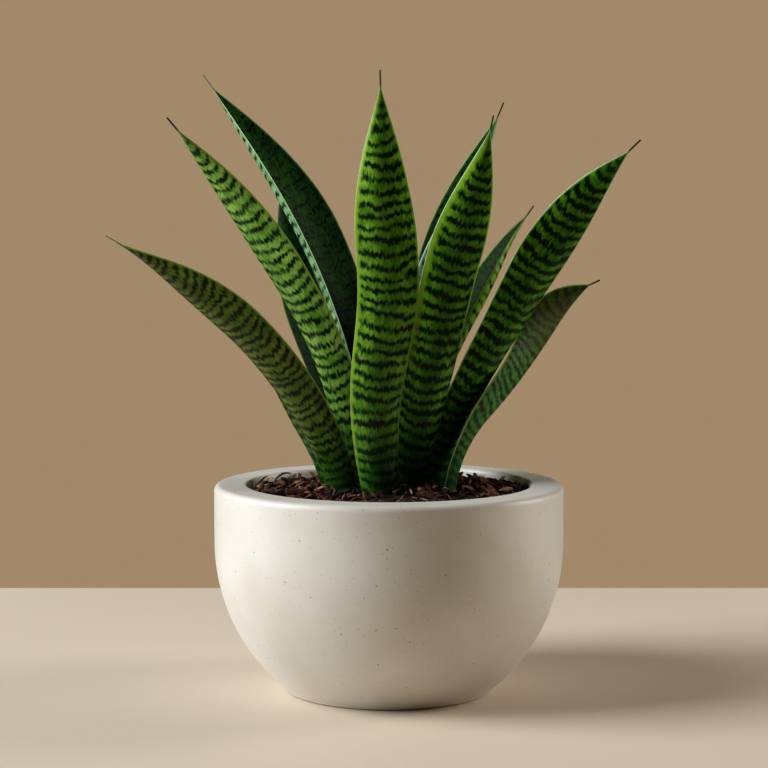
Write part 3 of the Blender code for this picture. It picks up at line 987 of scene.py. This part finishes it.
    def build(self, leaf: Leaf) -> bpy.types.Object:
        """Builds and dresses one leaf, with a flat foot and a pointed tip.

        Args:
            leaf: The leaf.

        Returns:
            The piece.
        """
        points, values = self.rings(leaf)
        around = points.shape[1]
        count = points.shape[0] * around
        tip = points[-1].mean(axis=0)
        faces = grid_faces(points.shape[0], around).tolist()
        faces += fan_faces(np.arange(count - around, count), count).tolist()
        front = np.arange(self.columns - 1)
        foot = np.stack([front + 1, front, (around - front) % around, around - front - 1], axis=1)
        faces += [foot[0, [0, 1, 3]].tolist(), *foot[1:-1].tolist(), foot[-1, [0, 1, 2]].tolist()]
        flat = np.concatenate([points.reshape(-1, 3), tip[None]])
        mesh = mesh_from(leaf.name, flat, faces, LEAF_CREASE)
        for name, layer in values.items():
            set_values(mesh, name, np.append(layer.ravel(), layer[-1].mean()))
        self.shapes.append(points.reshape(-1, 3))
        skin = leaf.skin.material("skin_" + leaf.name, leaf.seed, leaf.margin_from)
        return add_piece(leaf.name.replace("leaf_", "blade_"), mesh, skin, leaf.slot, leaf.name)

    def build_all(self, leaves: tuple) -> None:
        """Builds every leaf."""
        for leaf in leaves:
            piece = self.build(leaf)
            low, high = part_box(leaf.name)
            corners = np.empty(len(piece.data.vertices) * 3)
            piece.data.vertices.foreach_get("co", corners)
            corners = corners.reshape(-1, 3)
            gap = max(np.abs(corners.min(0) - low).max(), np.abs(corners.max(0) - high).max())
            LOG.info("%s: its box is within %.2f mm of its solid's", piece.name, 1000 * gap)


# Each skin's rim colour is a painted highlight along its margins' edges
BRIGHT = LeafSkin(band_share=0.36)
FRESH = LeafSkin(light=(0.150, 0.350, 0.024), mid=(0.048, 0.190, 0.005), deep=(0.004, 0.042, 0.002),
                 rim=(0.70, 0.80, 0.55), band_share=0.40, gloss=0.12)
LIVELY = LeafSkin(light=(0.105, 0.280, 0.010), mid=(0.026, 0.135, 0.003), deep=(0.002, 0.028, 0.001),
                  margin=(0.17, 0.33, 0.05), rim=(0.66, 0.78, 0.62), awl=(0.040, 0.030, 0.018),
                  midrib_shade_share=0.3, band_share=0.42, gloss=0.08)
MEADOW = LeafSkin(light=(0.300, 0.530, 0.110), mid=(0.125, 0.300, 0.028), deep=(0.012, 0.072, 0.012),
                  rim=(0.40, 0.62, 0.12), awl=(0.030, 0.022, 0.014), midrib_shade_share=0.0, band_share=0.32)
# The dark skin's pale teal outer colours are a painted sheen of the key light; its rim is a painted
# highlight
DARK = LeafSkin(light=(0.260, 0.430, 0.235), mid=(0.135, 0.290, 0.130), deep=(0.040, 0.120, 0.055),
                inner=(0.0015, 0.032, 0.001), inner_light=(0.040, 0.175, 0.005),
                margin=(0.17, 0.36, 0.06), rim=(0.62, 0.72, 0.55), awl=(0.30, 0.34, 0.26),
                midrib_shade_share=0.0, gloss=0.12)
# The teal skin's pale inner colours and margin are a painted sheen of the key light, and its rim a
# painted highlight
TEAL_SHEEN = LeafSkin(inner=(0.060, 0.160, 0.095), inner_light=(0.150, 0.310, 0.210),
                margin=(0.30, 0.48, 0.34), rim=(0.70, 0.78, 0.62), midrib_shade_share=0.0, band_share=0.2)
SMOOTH = LeafSkin(light=(0.062, 0.165, 0.060), mid=(0.034, 0.118, 0.040), deep=(0.014, 0.064, 0.022),
                  inner=(0.006, 0.044, 0.005), inner_light=(0.024, 0.100, 0.012),
                  margin=(0.10, 0.26, 0.06), midrib_shade_share=0.0)
GLADE = LeafSkin(light=(0.220, 0.450, 0.025), mid=(0.130, 0.330, 0.014), deep=(0.040, 0.140, 0.008),
                 inner=(0.007, 0.038, 0.006), inner_light=(0.030, 0.080, 0.014),
                 margin=(0.20, 0.42, 0.04), midrib_shade_share=0.0, gloss=0.20)
OLIVE = LeafSkin(light=(0.140, 0.205, 0.014), mid=(0.062, 0.108, 0.006), deep=(0.020, 0.042, 0.002),
                 band=(0.002, 0.008, 0.002), margin=(0.16, 0.34, 0.03), awl=(0.40, 0.44, 0.36),
                 midrib_shade=(0.034, 0.064, 0.002), midrib_shade_share=0.4, spacing=0.0078, band_share=0.38)
TAWNY = LeafSkin(light=(0.085, 0.290, 0.026), mid=(0.028, 0.150, 0.010), deep=(0.005, 0.040, 0.004),
                 band=(0.003, 0.008, 0.002), margin=(0.20, 0.36, 0.10), browning=0.62, midrib_shade_share=0.0,
                 spacing=0.0078, band_share=0.38, roughness=0.46, gloss=0.20)

LEAVES = (
    Leaf("leaf_front_centre", Slot.BRIGHT,
         ((-0.004, -0.026, 0.000), (-0.010, -0.034, 0.094), (-0.001, -0.039, 0.169),
          (-0.004, -0.042, 0.239), (-0.006, -0.044, 0.294), (-0.007, -0.045, 0.345)),
         (4, 2, 0, 0, 0, 0), 0.051, foot_share=0.62, widest=0.62, skin=BRIGHT, seed=1.0,
         left_margin=0.0040, right_margin=0.0024),
    Leaf("leaf_far_left", Slot.OLIVE,
         ((-0.036, -0.012, 0.000), (-0.048, -0.018, 0.041), (-0.073, -0.028, 0.091),
          (-0.115, -0.045, 0.145), (-0.165, -0.060, 0.186), (-0.216, -0.072, 0.218)),
         (-30, -35, -38, -44, -52, -75), 0.045, skin=OLIVE, seed=2.0),
    Leaf("leaf_upper_left", Slot.BRIGHT,
         ((-0.025, 0.006, 0.000), (-0.036, -0.002, 0.066), (-0.053, -0.012, 0.126),
          (-0.085, -0.030, 0.190), (-0.128, -0.052, 0.256), (-0.168, -0.074, 0.307)),
         (-35, -42, -46, -46, -40, -30), 0.047, foot_share=0.62, skin=MEADOW, seed=3.0),
    Leaf("leaf_tall_left", Slot.DARK,
         ((-0.013, 0.025, 0.000), (-0.021, 0.032, 0.084), (-0.043, 0.042, 0.164),
          (-0.075, 0.053, 0.235), (-0.113, 0.064, 0.294), (-0.154, 0.076, 0.350)),
         (-120, -122, -125, -128, -130, -135), 0.063, cup=(110, 80, 90), foot_share=0.47,
         right_roll=(-8, 40, 70), skin=DARK, seed=4.0),
    Leaf("leaf_back_left", Slot.DARK,
         ((-0.022, 0.043, 0.000), (-0.046, 0.057, 0.089), (-0.075, 0.070, 0.169),
          (-0.092, 0.080, 0.266)),
         (-150, -150, -150, -150), 0.041, skin=SMOOTH, seed=5.0),
    Leaf("leaf_low_left", Slot.DARK,
         ((-0.047, 0.014, 0.000), (-0.058, 0.012, 0.037), (-0.076, 0.008, 0.071),
          (-0.096, 0.000, 0.104)),
         (-60, -60, -60, -60), 0.036, skin=LIVELY, seed=6.0),
    Leaf("leaf_young_centre", Slot.DARK,
         ((0.004, 0.006, 0.000), (0.012, 0.007, 0.069), (0.024, 0.006, 0.149),
          (0.037, 0.005, 0.206), (0.055, 0.004, 0.256)),
         (130, 130, 130, 130, 130), 0.030, skin=TEAL_SHEEN, seed=7.0),
    # Its margins begin 0.10 m up: painted shadow of the front centre leaf on its lower margins
    Leaf("leaf_front_right", Slot.BRIGHT,
         ((0.015, -0.008, 0.000), (0.022, -0.016, 0.049), (0.034, -0.027, 0.113),
          (0.050, -0.036, 0.195), (0.069, -0.046, 0.261), (0.080, -0.050, 0.310)),
         (15, 15, 15, 10, 5, 0), 0.045, foot_share=0.62, widest=0.66, skin=FRESH, seed=8.0,
         left_margin=0.0062, right_margin=0.0026, margin_from=0.10),
    Leaf("leaf_back_centre", Slot.DARK,
         ((0.016, 0.027, 0.000), (0.020, 0.034, 0.067), (0.035, 0.047, 0.149),
          (0.055, 0.058, 0.226), (0.077, 0.068, 0.284), (0.095, 0.074, 0.327)),
         (150, 150, 150, 150, 150, 150), 0.046, foot_share=0.55, skin=SMOOTH, seed=9.0),
    Leaf("leaf_back_right", Slot.DARK,
         ((0.027, 0.034, 0.000), (0.033, 0.043, 0.058), (0.056, 0.057, 0.128),
          (0.086, 0.068, 0.182), (0.104, 0.076, 0.217), (0.121, 0.082, 0.242)),
         (120, 120, 118, 115, 115, 115), 0.054, cup=(110, 90, 110), foot_share=0.53,
         left_roll=(-12, 45, 10), skin=GLADE, seed=10.0),
    Leaf("leaf_tall_right", Slot.DARK,
         ((0.037, 0.013, 0.000), (0.053, 0.006, 0.060), (0.083, -0.011, 0.125),
          (0.126, -0.032, 0.206), (0.159, -0.048, 0.256), (0.192, -0.060, 0.291)),
         (45, 45, 45, 32, 15, 5), 0.051, foot_share=0.60, widest=0.62, skin=LIVELY, seed=11.0),
    Leaf("leaf_far_right", Slot.OLIVE,
         ((0.049, -0.009, 0.000), (0.0555, -0.009, 0.034), (0.0715, -0.003, 0.066),
          (0.098, 0.016, 0.099), (0.119, 0.032, 0.131), (0.140, 0.041, 0.162),
          (0.173, 0.046, 0.181)),
         (82, 82, 80, 74, 56, 38, 30), 0.041, widest=0.70, skin=TAWNY, seed=12.0),
)


# ---------------------------------------------------------------- planter


@dataclass
class Planter:
    """The cast bowl: one profile turned about its axis, with three drain holes in its floor."""

    segments: int = 224
    rim_outer_round: float = 0.005
    rim_inner_round: float = 0.003
    foot_round: float = 0.002
    round_points: int = 9
    flat_points: int = 6
    collar_points: int = 12
    inside_points: int = 26
    outside_points: int = 40
    inside_crowding: float = 1.4
    drain_radius: float = 0.006
    drain_circle: float = 0.030
    drains: int = 3
    drain_turn: float = 0.29
    drain_points: int = 32

    def arc(self, z: np.ndarray, inward: float) -> np.ndarray:
        """Radius of the bowl's side: one arc that is upright at the collar's foot.

        The arc's radius is (spread^2 + height^2) / (2 * spread); the inside uses the same centre.

        Args:
            z: Heights, none above the rim.
            inward: How far inside the outer face to stand.

        Returns:
            The radius at each height.
        """
        spread = RIM_RADIUS - FOOT_RADIUS
        size = (spread**2 + COLLAR_FOOT**2) / (2 * spread)
        below = np.maximum(COLLAR_FOOT - z, 0.0)
        return RIM_RADIUS - size + np.sqrt((size - inward) ** 2 - below**2)

    def between(self, start: float, end: float, count: int) -> np.ndarray:
        """Evenly spaced places between start and end, without the two ends."""
        return np.linspace(start, end, count + 2)[1:-1]

    def profile(self) -> np.ndarray:
        """Radius and height of each point, from the floor's centre over the rim to the underside."""
        quarter = np.linspace(0, math.pi / 2, self.round_points)
        sine, cosine = np.sin(quarter), np.cos(quarter)
        climb = np.linspace(0, 1, self.inside_points) ** self.inside_crowding
        inside = FLOOR + (COLLAR_FOOT - FLOOR) * climb
        outside = COLLAR_FOOT * np.linspace(1, 0, self.outside_points)[1:]
        outside = outside[outside > self.foot_round]
        bore, inner, outer = RIM_RADIUS - WALL, self.rim_inner_round, self.rim_outer_round
        low, flat, across = RIM_HEIGHT - inner, self.flat_points, self.round_points - 2
        low_outer = RIM_HEIGHT - outer
        floor = self.between(0, 1, across) * self.arc(np.array(FLOOR), WALL)
        edge = self.arc(np.array(self.foot_round), 0.0)
        turn = FOOT_RADIUS - self.foot_round
        collar = np.linspace(low_outer, COLLAR_FOOT, self.collar_points + 1)[1:]
        parts = [
            (floor, np.full_like(floor, FLOOR)),
            (self.arc(inside, WALL), inside),
            (np.full(flat, bore), self.between(COLLAR_FOOT, low, flat)),
            (bore + inner - inner * cosine, low + inner * sine),
            (self.between(bore + inner, RIM_RADIUS - outer, flat), np.full(flat, RIM_HEIGHT)),
            (RIM_RADIUS - outer + outer * sine, low_outer + outer * cosine),
            (np.full(self.collar_points, RIM_RADIUS), collar),
            (self.arc(outside, 0.0), outside),
            (turn + (edge - turn) * cosine, self.foot_round * (1 - sine)),
            (self.between(turn, 0, across), np.zeros(across)),
        ]
        return np.concatenate([np.stack(part, axis=1) for part in parts])

    def build(self) -> bpy.types.Object:
        """Turns the profile, cuts the drain holes and dresses the bowl."""
        profile = self.profile()
        turn = np.linspace(0, 2 * math.pi, self.segments, endpoint=False)
        radius, height = profile[:, :1], profile[:, 1:]
        points = np.stack([radius * np.cos(turn), radius * np.sin(turn), height + 0 * turn], axis=-1)
        count = points.shape[0] * self.segments
        faces = grid_faces(points.shape[0], self.segments).tolist()
        faces += fan_faces(np.arange(self.segments)[::-1], count).tolist()
        faces += fan_faces(np.arange(count - self.segments, count), count + 1).tolist()
        flat = np.concatenate([points.reshape(-1, 3), [[0, 0, FLOOR], [0, 0, 0]]])
        blank = show("bowl_blank", mesh_from("bowl", flat, faces, BOWL_CREASE))
        bores = [self.bore(index) for index in range(self.drains)]
        for bore in bores:
            cut = blank.modifiers.new(bore.name, "BOOLEAN")
            cut.operation, cut.solver, cut.object = "DIFFERENCE", "EXACT", bore
        bpy.context.view_layer.update()
        graph = bpy.context.evaluated_depsgraph_get()
        bored = bpy.data.meshes.new_from_object(blank.evaluated_get(graph))
        for helper in (blank, *bores):
            bpy.data.objects.remove(helper)
        bored.name = "bowl"
        stone = StoneFinish().material("cast_stone_face")
        return add_piece("bowl", shaded(bored, BOWL_CREASE), stone, Slot.STONE, "planter")

    def bore(self, index: int) -> bpy.types.Object:
        """A cylinder through the floor at one drain's place.

        Args:
            index: The drain's number, from 0.

        Returns:
            The cylinder.
        """
        turn = 2 * math.pi * (index + self.drain_turn) / self.drains
        count = self.drain_points
        around = np.linspace(0, 2 * math.pi, count, endpoint=False)
        x = self.drain_circle * math.cos(turn) + self.drain_radius * np.cos(around)
        y = self.drain_circle * math.sin(turn) + self.drain_radius * np.sin(around)
        ends = [np.stack([x, y, np.full(count, z)], 1) for z in (-FLOOR / 2, FLOOR * 1.5)]
        faces = grid_faces(2, count).tolist()
        faces += [list(range(count - 1, -1, -1)), list(range(count, 2 * count))]
        return show(f"bore_{index}", mesh_from("bore", np.concatenate(ends), faces, BOWL_CREASE))


# ---------------------------------------------------------------- bark


@dataclass
class BarkBed:
    """Shredded bark over the mulch bed: bent, tapered shreds that lie across each other."""

    shreds: int = 1500
    straws: int = 48
    spare_straws: int = 4
    stations: int = 6
    around: int = 6
    shred_length: tuple = (-4.72, 0.40)
    length_limits: tuple = (0.004, 0.019)
    straw_length: tuple = (0.009, 0.017)
    shred_width: tuple = (0.13, 0.40)
    straw_width: tuple = (0.035, 0.06)
    depth_share: tuple = (0.35, 0.75)
    shred_bend: float = 0.55
    straw_bend: float = 1.0
    roughening: tuple = (0.62, 1.25)
    blunt: float = 0.96
    shred_tip: float = 0.34
    straw_tip: float = 0.35
    mound: float = 0.003
    mound_reach: float = 0.055
    hollow_middle: float = 0.005
    hollow_reach: float = 0.055
    hollow_front: float = -0.035
    heap: float = 0.009
    heap_draw: tuple = (1.0, 2.2)
    heap_fade: tuple = (1.25, 0.35)
    left_heap: float = 0.8
    left_reach: float = 0.09
    sunk: float = 0.0022
    rest_share: float = 0.75
    hollow_flattening: float = 0.90
    hollow_sunk: float = 0.0010
    wall_gap: float = 0.0006
    clearance: float = 0.0024
    near_bed: float = 0.022
    leaf_stride: int = 5
    tone_draw: tuple = (1.1, 1.4)
    tone_top: float = 1.02
    hollow_shade: float = 0.55
    straw_tone: tuple = (0.9, 1.1)
    straw_lift: float = 0.003
    seed: int = 5

    def ground(self, x: np.ndarray, y: np.ndarray) -> np.ndarray:
        """Height of the bed: a low mound, exp of minus the distance squared, around the leaves."""
        return MULCH_TOP + self.mound * np.exp(-(x**2 + y**2) / self.mound_reach**2)

    def hollow(self, x: np.ndarray, y: np.ndarray) -> np.ndarray:
        """How far the bed lies low in front of the leaves: exp of minus the side distance squared."""
        aside = (x - self.hollow_middle) / self.hollow_reach
        return np.exp(-(aside**2)) * (y < self.hollow_front)

    def shapes(self, rng: np.random.Generator, count: int, straw: bool) -> np.ndarray:
        """Points of many shreds at once, each about its own middle.

        A shred is a six-sided section, flattened and tapered to both ends by the root of
        1 - t to the fourth, that is carried along a circular arc and roughened point by point.

        Args:
            rng: The source of the draws.
            count: How many shreds.
            straw: Whether they are long thin straws.

        Returns:
            An array of shreds by stations by points around by 3.
        """
        if straw:
            length = rng.uniform(*self.straw_length, count)
        else:
            length = np.clip(rng.lognormal(*self.shred_length, count), *self.length_limits)
        width = length * rng.uniform(*(self.straw_width if straw else self.shred_width), count)
        depth = width * rng.uniform(*self.depth_share, count)
        bend = rng.normal(0, self.straw_bend if straw else self.shred_bend, count)
        t = np.linspace(-1, 1, self.stations)
        turn = np.linspace(0, 2 * math.pi, self.around, endpoint=False)
        taper = np.sqrt(1 - (self.blunt * t) ** 4)[None, :, None]
        rough = rng.uniform(*self.roughening, (count, self.stations, self.around))
        y = width[:, None, None] / 2 * taper * rough * np.cos(turn)
        z = depth[:, None, None] / 2 * taper * rough * np.sin(turn)
        angle = bend[:, None] * t
        safe = np.where(np.abs(bend) < 1e-3, 1e-3, bend)[:, None]
        along = length[:, None] / 2 * np.sin(safe * t) / safe
        lift = length[:, None] / 2 * (1 - np.cos(safe * t)) / safe
        x = along[..., None] - z * np.sin(angle)[..., None]
        z = lift[..., None] + z * np.cos(angle)[..., None]
        return np.stack([x, y, z], axis=-1)

    def turned(self, rng: np.random.Generator, shapes: np.ndarray, steep: float) -> np.ndarray:
        """The shapes rolled, tipped and turned by random angles: R = Rz(yaw) Ry(pitch) Rx(roll).

        Args:
            rng: The source of the draws.
            shapes: Shapes about their own middles.
            steep: How far they tip, in radians.

        Returns:
            The turned shapes.
        """
        count = len(shapes)
        roll = rng.uniform(-math.pi, math.pi, count)
        pitch = rng.normal(0, steep, count)
        yaw = rng.uniform(-math.pi, math.pi, count)
        x, y, z = np.moveaxis(shapes, -1, 0)
        angles = np.stack([roll, pitch, yaw])[..., None, None]
        roll_cos, pitch_cos, yaw_cos = np.cos(angles)
        roll_sin, pitch_sin, yaw_sin = np.sin(angles)
        y, z = y * roll_cos - z * roll_sin, y * roll_sin + z * roll_cos
        x, z = x * pitch_cos + z * pitch_sin, z * pitch_cos - x * pitch_sin
        x, y = x * yaw_cos - y * yaw_sin, x * yaw_sin + y * yaw_cos
        return np.stack([x, y, z], axis=-1)

    def scatter(
        self, rng: np.random.Generator, shapes: np.ndarray, taken: np.ndarray, count: int
    ) -> np.ndarray:
        """Lays shapes on the bed, clear of the bowl's wall and of the leaves.

        Args:
            rng: The source of the draws.
            shapes: The turned shapes, more than are needed.
            taken: Points of the leaves near the bed.
            count: How many to keep.

        Returns:
            The points of the kept shapes.
        """
        bore = RIM_RADIUS - WALL
        reach = bore * np.sqrt(rng.uniform(0, 1, len(shapes)))
        turn = rng.uniform(0, 2 * math.pi, len(shapes))
        x, y = reach * np.cos(turn), reach * np.sin(turn)
        low = shapes[..., 2].min(axis=(1, 2))
        fade, least = self.heap_fade
        pile = self.heap * rng.beta(*self.heap_draw, len(shapes))
        pile = pile * np.clip(fade - reach / bore, least, 1)
        pile = pile * (1 + self.left_heap * np.clip(-x / self.left_reach, 0, 1))
        hollow = self.hollow(x, y)
        pile = pile * (1 - self.hollow_flattening * hollow)
        z = self.ground(x, y) - low * self.rest_share - self.sunk + pile - self.hollow_sunk * hollow
        placed = shapes + np.stack([x, y, z], axis=-1)[:, None, None]
        wall = np.linalg.norm(placed[..., :2], axis=-1).max(axis=(1, 2)) < bore - self.wall_gap
        middle = placed[:, :: self.stations - 1].mean(axis=2).reshape(-1, 2, 3)
        middle = np.concatenate([middle, placed.mean(axis=(1, 2))[:, None]], axis=1)
        gaps = np.linalg.norm(middle[:, :, None] - taken[None, None], axis=-1).min(axis=(1, 2))
        return placed[wall & (gaps > self.clearance)][:count]

    def piece(self, name: str, points: np.ndarray, tone: np.ndarray) -> bpy.types.Object:
        """Joins shreds into one piece.

        Args:
            name: The piece's name.
            points: Shreds by stations by points around by 3.
            tone: One tone for each shred.

        Returns:
            The piece.
        """
        count = len(points)
        size = self.stations * self.around
        side = grid_faces(self.stations, self.around)
        ends = np.stack([np.arange(self.around)[::-1], np.arange(size - self.around, size)])
        base = (np.arange(count) * size)[:, None, None]
        faces = (side[None] + base).reshape(-1, 4).tolist()
        faces += (ends[None] + base).reshape(-1, self.around).tolist()
        mesh = mesh_from(name, points.reshape(-1, 3), faces, SHRED_CREASE)
        set_values(mesh, "tone", np.repeat(tone, size))
        return add_piece(name, mesh, BarkFinish().material(name + "_finish"), Slot.BARK)

    def build(self, leaves: list) -> None:
        """Lays the shreds and the straws around the leaves.

        Args:
            leaves: Points of each leaf.
        """
        rng = np.random.default_rng(self.seed)
        points = np.concatenate(leaves)
        taken = points[points[:, 2] < MULCH_TOP + self.near_bed][:: self.leaf_stride]
        for part in range(2):
            shapes = self.turned(rng, self.shapes(rng, self.shreds, False), self.shred_tip)
            laid = self.scatter(rng, shapes, taken, self.shreds // 2)
            middle = laid.mean(axis=(1, 2))
            shade = self.hollow_shade * self.hollow(middle[:, 0], middle[:, 1])
            tone = rng.beta(*self.tone_draw, len(laid)) * self.tone_top * (1 - shade)
            self.piece(f"bark_shreds_{part + 1}", laid, tone)
        straws = self.shapes(rng, self.straws * self.spare_straws, True)
        shapes = self.turned(rng, straws, self.straw_tip)
        laid = self.scatter(rng, shapes, taken, self.straws) + (0, 0, self.straw_lift)
        self.piece("bark_straws", laid, rng.uniform(*self.straw_tone, len(laid)))


# ---------------------------------------------------------------- kept solids and the studio


def dress_solids() -> None:
    """Gives each solid that stays in view, or hidden in the mix, its own finish."""
    finishes = {
        "bark_chip": BarkFinish(tone=0.5),
        # The bed under the shreds is dark bark: painted shade in the gaps between shreds
        "bark_mulch": BarkFinish(tone=0.10),
        "potting_mix": EarthFinish((0.020, 0.012, 0.008), (0.060, 0.036, 0.022)),
        "rhizome": EarthFinish((0.42, 0.25, 0.11), (0.60, 0.42, 0.22), 90.0, 0.7),
        "root_": EarthFinish((0.50, 0.37, 0.22), (0.68, 0.54, 0.36), 300.0, 0.75),
    }
    for start, finish in finishes.items():
        material = finish.material(start.rstrip("_") + "_finish")
        for name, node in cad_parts.items():
            if name.startswith(start):
                node.data.materials.clear()
                node.data.materials.append(material)
                LOG.info("%s keeps its solid", name)


@dataclass(frozen=True)
class Lamp:
    """A rectangular light that faces the plant, at reach metres from the plant's middle.

    turn is in degrees about the plant, 0 in front of it and 90 to its right, and lift is in degrees
    above its middle. The size is in metres and the power in watts.
    """

    name: str
    turn: float
    lift: float
    reach: float
    size: tuple
    power: float
    colour: Colour

    def build(self, aim: tuple) -> None:
        """Sets the light up so that it faces the point aim.

        Args:
            aim: The point that it faces.
        """
        light = bpy.data.lights.new(self.name, "AREA")
        light.shape = "RECTANGLE"
        light.size, light.size_y = self.size
        light.energy = self.power
        light.color = self.colour
        lamp = show(self.name, light)
        turn, lift = math.radians(self.turn), math.radians(self.lift)
        level = math.cos(lift)
        heading = np.array([math.sin(turn) * level, -math.cos(turn) * level, math.sin(lift)])
        lamp.rotation_euler = (math.pi / 2 - lift, 0, turn)
        lamp.location = np.array(aim) + self.reach * heading


@dataclass
class Studio:
    """A pale floor, soft light from the left and a camera at the front."""

    floor_colour: Colour = (0.74, 0.650, 0.540)
    floor_reach: float = 3.0
    floor_back: float = 0.445
    cloud_scale: float = 2.5
    cloud_share: float = 0.10
    floor_roughness: float = 0.6
    floor_gloss: float = 0.3
    backdrop: Colour = (0.330, 0.240, 0.150)
    ambient: Colour = (0.038, 0.019, 0.007)
    camera_place: tuple = (-0.004, -1.62, 0.373)
    camera_pitch: float = 4.5
    focal_length: float = 95.16
    sensor_width: float = 36.0
    aim: tuple = (0.0, 0.0, 0.20)
    lamps: tuple = (
        Lamp("key", -81, 29, 3.4, (1.84, 2.69), 148.0, (0.95, 0.985, 1.0)),
        Lamp("right_fill", 104, 18, 2.4, (0.9, 1.6), 30.0, (1.0, 0.96, 0.88)),
        Lamp("back_fill", 165, 35, 2.6, (1.4, 1.2), 2.5, (1.0, 0.96, 0.92)),
    )

    def lay_floor(self) -> None:
        """Lays the floor, which ends behind the plant where the backdrop begins."""
        g = Graph("floor_finish")
        cloud = g.noise(g.place(), self.cloud_scale)
        colour = g.mix(g.times(cloud, self.cloud_share), self.floor_colour, self.backdrop)
        side, back = self.floor_reach, self.floor_back
        corners = [(-side, -side, 0), (side, -side, 0), (side, back, 0), (-side, back, 0)]
        mesh = bpy.data.meshes.new("floor")
        mesh.from_pydata(corners, [], [(0, 1, 2, 3)])
        finish = g.finish(colour, self.floor_roughness, Specular_IOR_Level=self.floor_gloss)
        mesh.materials.append(finish)
        show("floor", mesh)

    def surround(self) -> None:
        """Shows the backdrop to the camera and gives the plant a dim ambient light."""
        world = bpy.data.worlds.new("studio")
        bpy.context.scene.world = world
        world.use_nodes = True
        tree = world.node_tree
        seen = tree.nodes.new("ShaderNodeLightPath")
        tones = tree.nodes.new("ShaderNodeMixRGB")
        tones.inputs["Color1"].default_value = (*self.ambient, 1.0)
        tones.inputs["Color2"].default_value = (*self.backdrop, 1.0)
        tree.links.new(seen.outputs["Is Camera Ray"], tones.inputs["Fac"])
        tree.links.new(tones.outputs[0], tree.nodes["Background"].inputs["Color"])

    def build(self) -> None:
        """Sets up the floor, the surroundings, the lights and the camera."""
        self.lay_floor()
        self.surround()
        for lamp in self.lamps:
            lamp.build(self.aim)
        lens = bpy.data.cameras.new("camera")
        lens.lens = self.focal_length
        lens.sensor_width = self.sensor_width
        camera = show("camera", lens)
        camera.location = self.camera_place
        camera.rotation_euler = (math.radians(90 - self.camera_pitch), 0, 0)
        bpy.context.scene.camera = camera
        bpy.context.scene.view_settings.view_transform = "Standard"
        bpy.context.scene.view_settings.look = "Medium High Contrast"


def main() -> None:
    """Builds the pieces in order, from the bowl to the leaves, the bark and the studio."""
    logging.basicConfig(level=logging.INFO, format="%(name)s %(message)s")
    Planter().build()
    fan = LeafFan()
    fan.build_all(LEAVES)
    BarkBed().build(fan.shapes)
    dress_solids()
    Studio().build()


if __name__ == "__main__":
    main()
